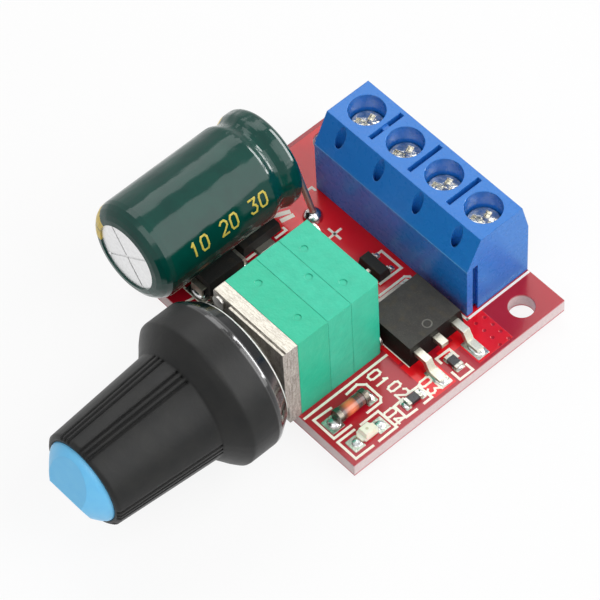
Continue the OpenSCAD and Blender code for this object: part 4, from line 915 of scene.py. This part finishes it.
def diodeFinish():
    # glass body: dark band at the cathode, orange glow of the element in the middle
    f = Finish("diodeGlass", roughness=0.08, ior=1.52, coat=0.8, coatRoughness=0.04)
    x, y, _ = f.axes()
    middle = (x > diode["between"]) * diode["rightMiddle"] + (x < diode["between"]) * diode["leftMiddle"]
    along = y - middle
    glowMiddle, glowHalf = diode["glowPlace"]
    core = 1 - f.step(abs(along - glowMiddle), glowHalf, soft=0.4)
    slug = f.step(abs(along), diode["slugFrom"], soft=0.1)
    band = f.band(along, *diode["bandPlace"], soft=0.04)
    colour = f.blend(core, diode["glass"], diode["glow"])
    colour = f.blend(slug * 0.8, colour, diode["slug"])
    colour = f.blend(band, colour, diode["band"])
    f.feed("colour", f.blend(f.spots(scale=3, detail=3, gain=1.4, cut=0.4) * 0.3, colour, diode["tint"]))
    f.relief(f.noise(scale=2, detail=2), depth=0.02, edge=0.1)
    return f


def lampFinish():
    f = Finish("lampResin", roughness=0.3, subsurface=0.2, subsurfaceScale=0.4 * mm)
    x, y, z = f.axes()
    spot = 1 - f.step(distance(x, y, lamp["middle"]), lamp["spotRadius"], soft=0.06)
    tone = f.blend(f.spots(scale=3, detail=3, gain=1.5, cut=0.4) * 0.5, lamp["resin"], lamp["deepResin"])
    f.feed("colour", f.blend(spot * f.step(z, lamp["top"], soft=0.1) * 0.6, tone, lamp["spot"]))
    f.relief(f.noise(scale=6, detail=3), depth=0.015, edge=0.08)
    return f


dress(plainFinish("diodeCapTin", paint(132, 126, 116), paint(66, 60, 54), roughness=0.24, metallic=1.0),
      "glass_diode_caps")
dress(diodeFinish(), "glass_diodes")
dress(lampFinish(), "indicator_lamp")
print("small parts done")

# Floor under the lowest solder cone, white tent round it, three soft lamps and one long gleam
studio = {
    "floorSize": 4.0,     # metres
    "tent": 0.16,         # how strongly the white surroundings light the object
    "floorKeep": 0.12,    # share of the floor's own shading that stays in view
    # direction and distance in metres from the origin, width and height, brightness of the lamp's face
    "lamps": [
        {"name": "leftLamp", "toward": (-0.545, 0.367, 0.75), "distance": 0.32,
         "size": (0.17, 0.28), "strength": 2.6, "mirroredOnly": False},
        {"name": "rightLamp", "toward": (0.667, 0.367, 0.644), "distance": 0.32,
         "size": (0.34, 0.28), "strength": 2.7, "mirroredOnly": False},
        {"name": "frontFill", "toward": (0.25, -0.6, 0.76), "distance": 0.5,
         "size": (0.4, 0.3), "strength": 2.4, "mirroredOnly": False},
        {"name": "backGleam", "toward": (0.26, 0.76, 0.42), "distance": 0.4,
         "size": (0.42, 0.15), "strength": 18, "mirroredOnly": True},
    ],
}


def seenDirectly(finish):
    # 1 for rays that show the surroundings: straight, mirrored or through glass
    path = [finish.node("ShaderNodeLightPath", {}, (), name) for name in
            ("Is Camera Ray", "Is Glossy Ray", "Is Transmission Ray")]
    return (path[0] + path[1] + path[2]).clamp()


def whiteFloor():
    place = Matrix.Translation((0, 0, cadBox[0].z))
    bm = bmesh.new()
    bmesh.ops.create_grid(bm, x_segments=1, y_segments=1, size=studio["floorSize"] / 2, matrix=place)
    f = Finish("floorPaper", roughness=0.9)
    f.feed("colour", f.blend(f.noise(scale=0.02, detail=2) * 0.2, paint(238, 238, 238), paint(232, 232, 232)))
    glow = f.node("ShaderNodeEmission", {}, {"Color": (1, 1, 1, 1), "Strength": 1.0})
    own = Wire(f, f.shader.outputs[0])
    mixed = f.node("ShaderNodeMixShader", {}, (seenDirectly(f) * (1 - studio["floorKeep"]), own, glow))
    f.tree.links.new(mixed.socket, f.tree.nodes["Material Output"].inputs["Surface"])
    mesh = bpy.data.meshes.new("floor")
    bm.to_mesh(mesh)
    bm.free()
    mesh.materials.append(f.material)
    floor = bpy.data.objects.new("floor", mesh)
    bpy.context.scene.collection.objects.link(floor)


def whiteTent():
    world = bpy.data.worlds.new("tent")
    bpy.context.scene.world = world
    world.use_nodes = True
    tree = world.node_tree
    back = tree.nodes["Background"]
    back.inputs["Color"].default_value = (1, 1, 1, 1)
    path = tree.nodes.new("ShaderNodeLightPath")
    seen = tree.nodes.new("ShaderNodeMath")
    seen.operation = "MAXIMUM"
    tree.links.new(path.outputs["Is Camera Ray"], seen.inputs[0])
    tree.links.new(path.outputs["Is Glossy Ray"], seen.inputs[1])
    level = tree.nodes.new("ShaderNodeMapRange")
    tree.links.new(seen.outputs[0], level.inputs["Value"])
    level.inputs["To Min"].default_value = studio["tent"]
    level.inputs["To Max"].default_value = 1.0
    tree.links.new(level.outputs["Result"], back.inputs["Strength"])


def softLamp(name, toward, distance, size, strength, mirroredOnly):
    data = bpy.data.lights.new(name, "AREA")
    data.shape = "RECTANGLE"
    data.size, data.size_y = size
    # the power that gives the lamp's face the wanted brightness
    data.energy = strength * math.pi * data.size * data.size_y
    obj = bpy.data.objects.new(name, data)
    bpy.context.scene.collection.objects.link(obj)
    back = Vector(toward).normalized()
    side = Vector((0, 1, 0)).cross(back).normalized()
    obj.matrix_world = Matrix((side, back.cross(side), back)).transposed().to_4x4()
    obj.location = back * distance
    obj.visible_camera = False
    obj.visible_diffuse = not mirroredOnly


whiteFloor()
whiteTent()
for row in studio["lamps"]:
    softLamp(**row)

# Camera at the photograph's viewing angle
camera = {
    # degrees
    "azimuth": 50.77,
    "elevation": 54.48,
    "roll": -3.63,
    # metres
    "place": (0.15058, -0.13775, 0.27621),
    "clip": (0.01, 20),
    # millimetres
    "lens": 227.2,
    "sensor": 36,
}


def photoCamera():
    a, e, roll = (math.radians(camera[k]) for k in ("azimuth", "elevation", "roll"))
    back = Vector((math.sin(a) * math.cos(e), -math.cos(a) * math.cos(e), math.sin(e)))
    right = (-back).cross(Vector((0, 0, 1))).normalized()
    upward = right.cross(-back)
    side = math.cos(roll) * right + math.sin(roll) * upward
    top = -math.sin(roll) * right + math.cos(roll) * upward
    data = bpy.data.cameras.new("photoCamera")
    data.lens, data.sensor_width = camera["lens"], camera["sensor"]
    data.clip_start, data.clip_end = camera["clip"]
    obj = bpy.data.objects.new("photoCamera", data)
    bpy.context.scene.collection.objects.link(obj)
    obj.matrix_world = Matrix((side, top, back)).transposed().to_4x4()
    obj.location = camera["place"]
    bpy.context.scene.camera = obj


photoCamera()
bpy.context.scene.view_settings.view_transform = "Standard"
print("studio done")
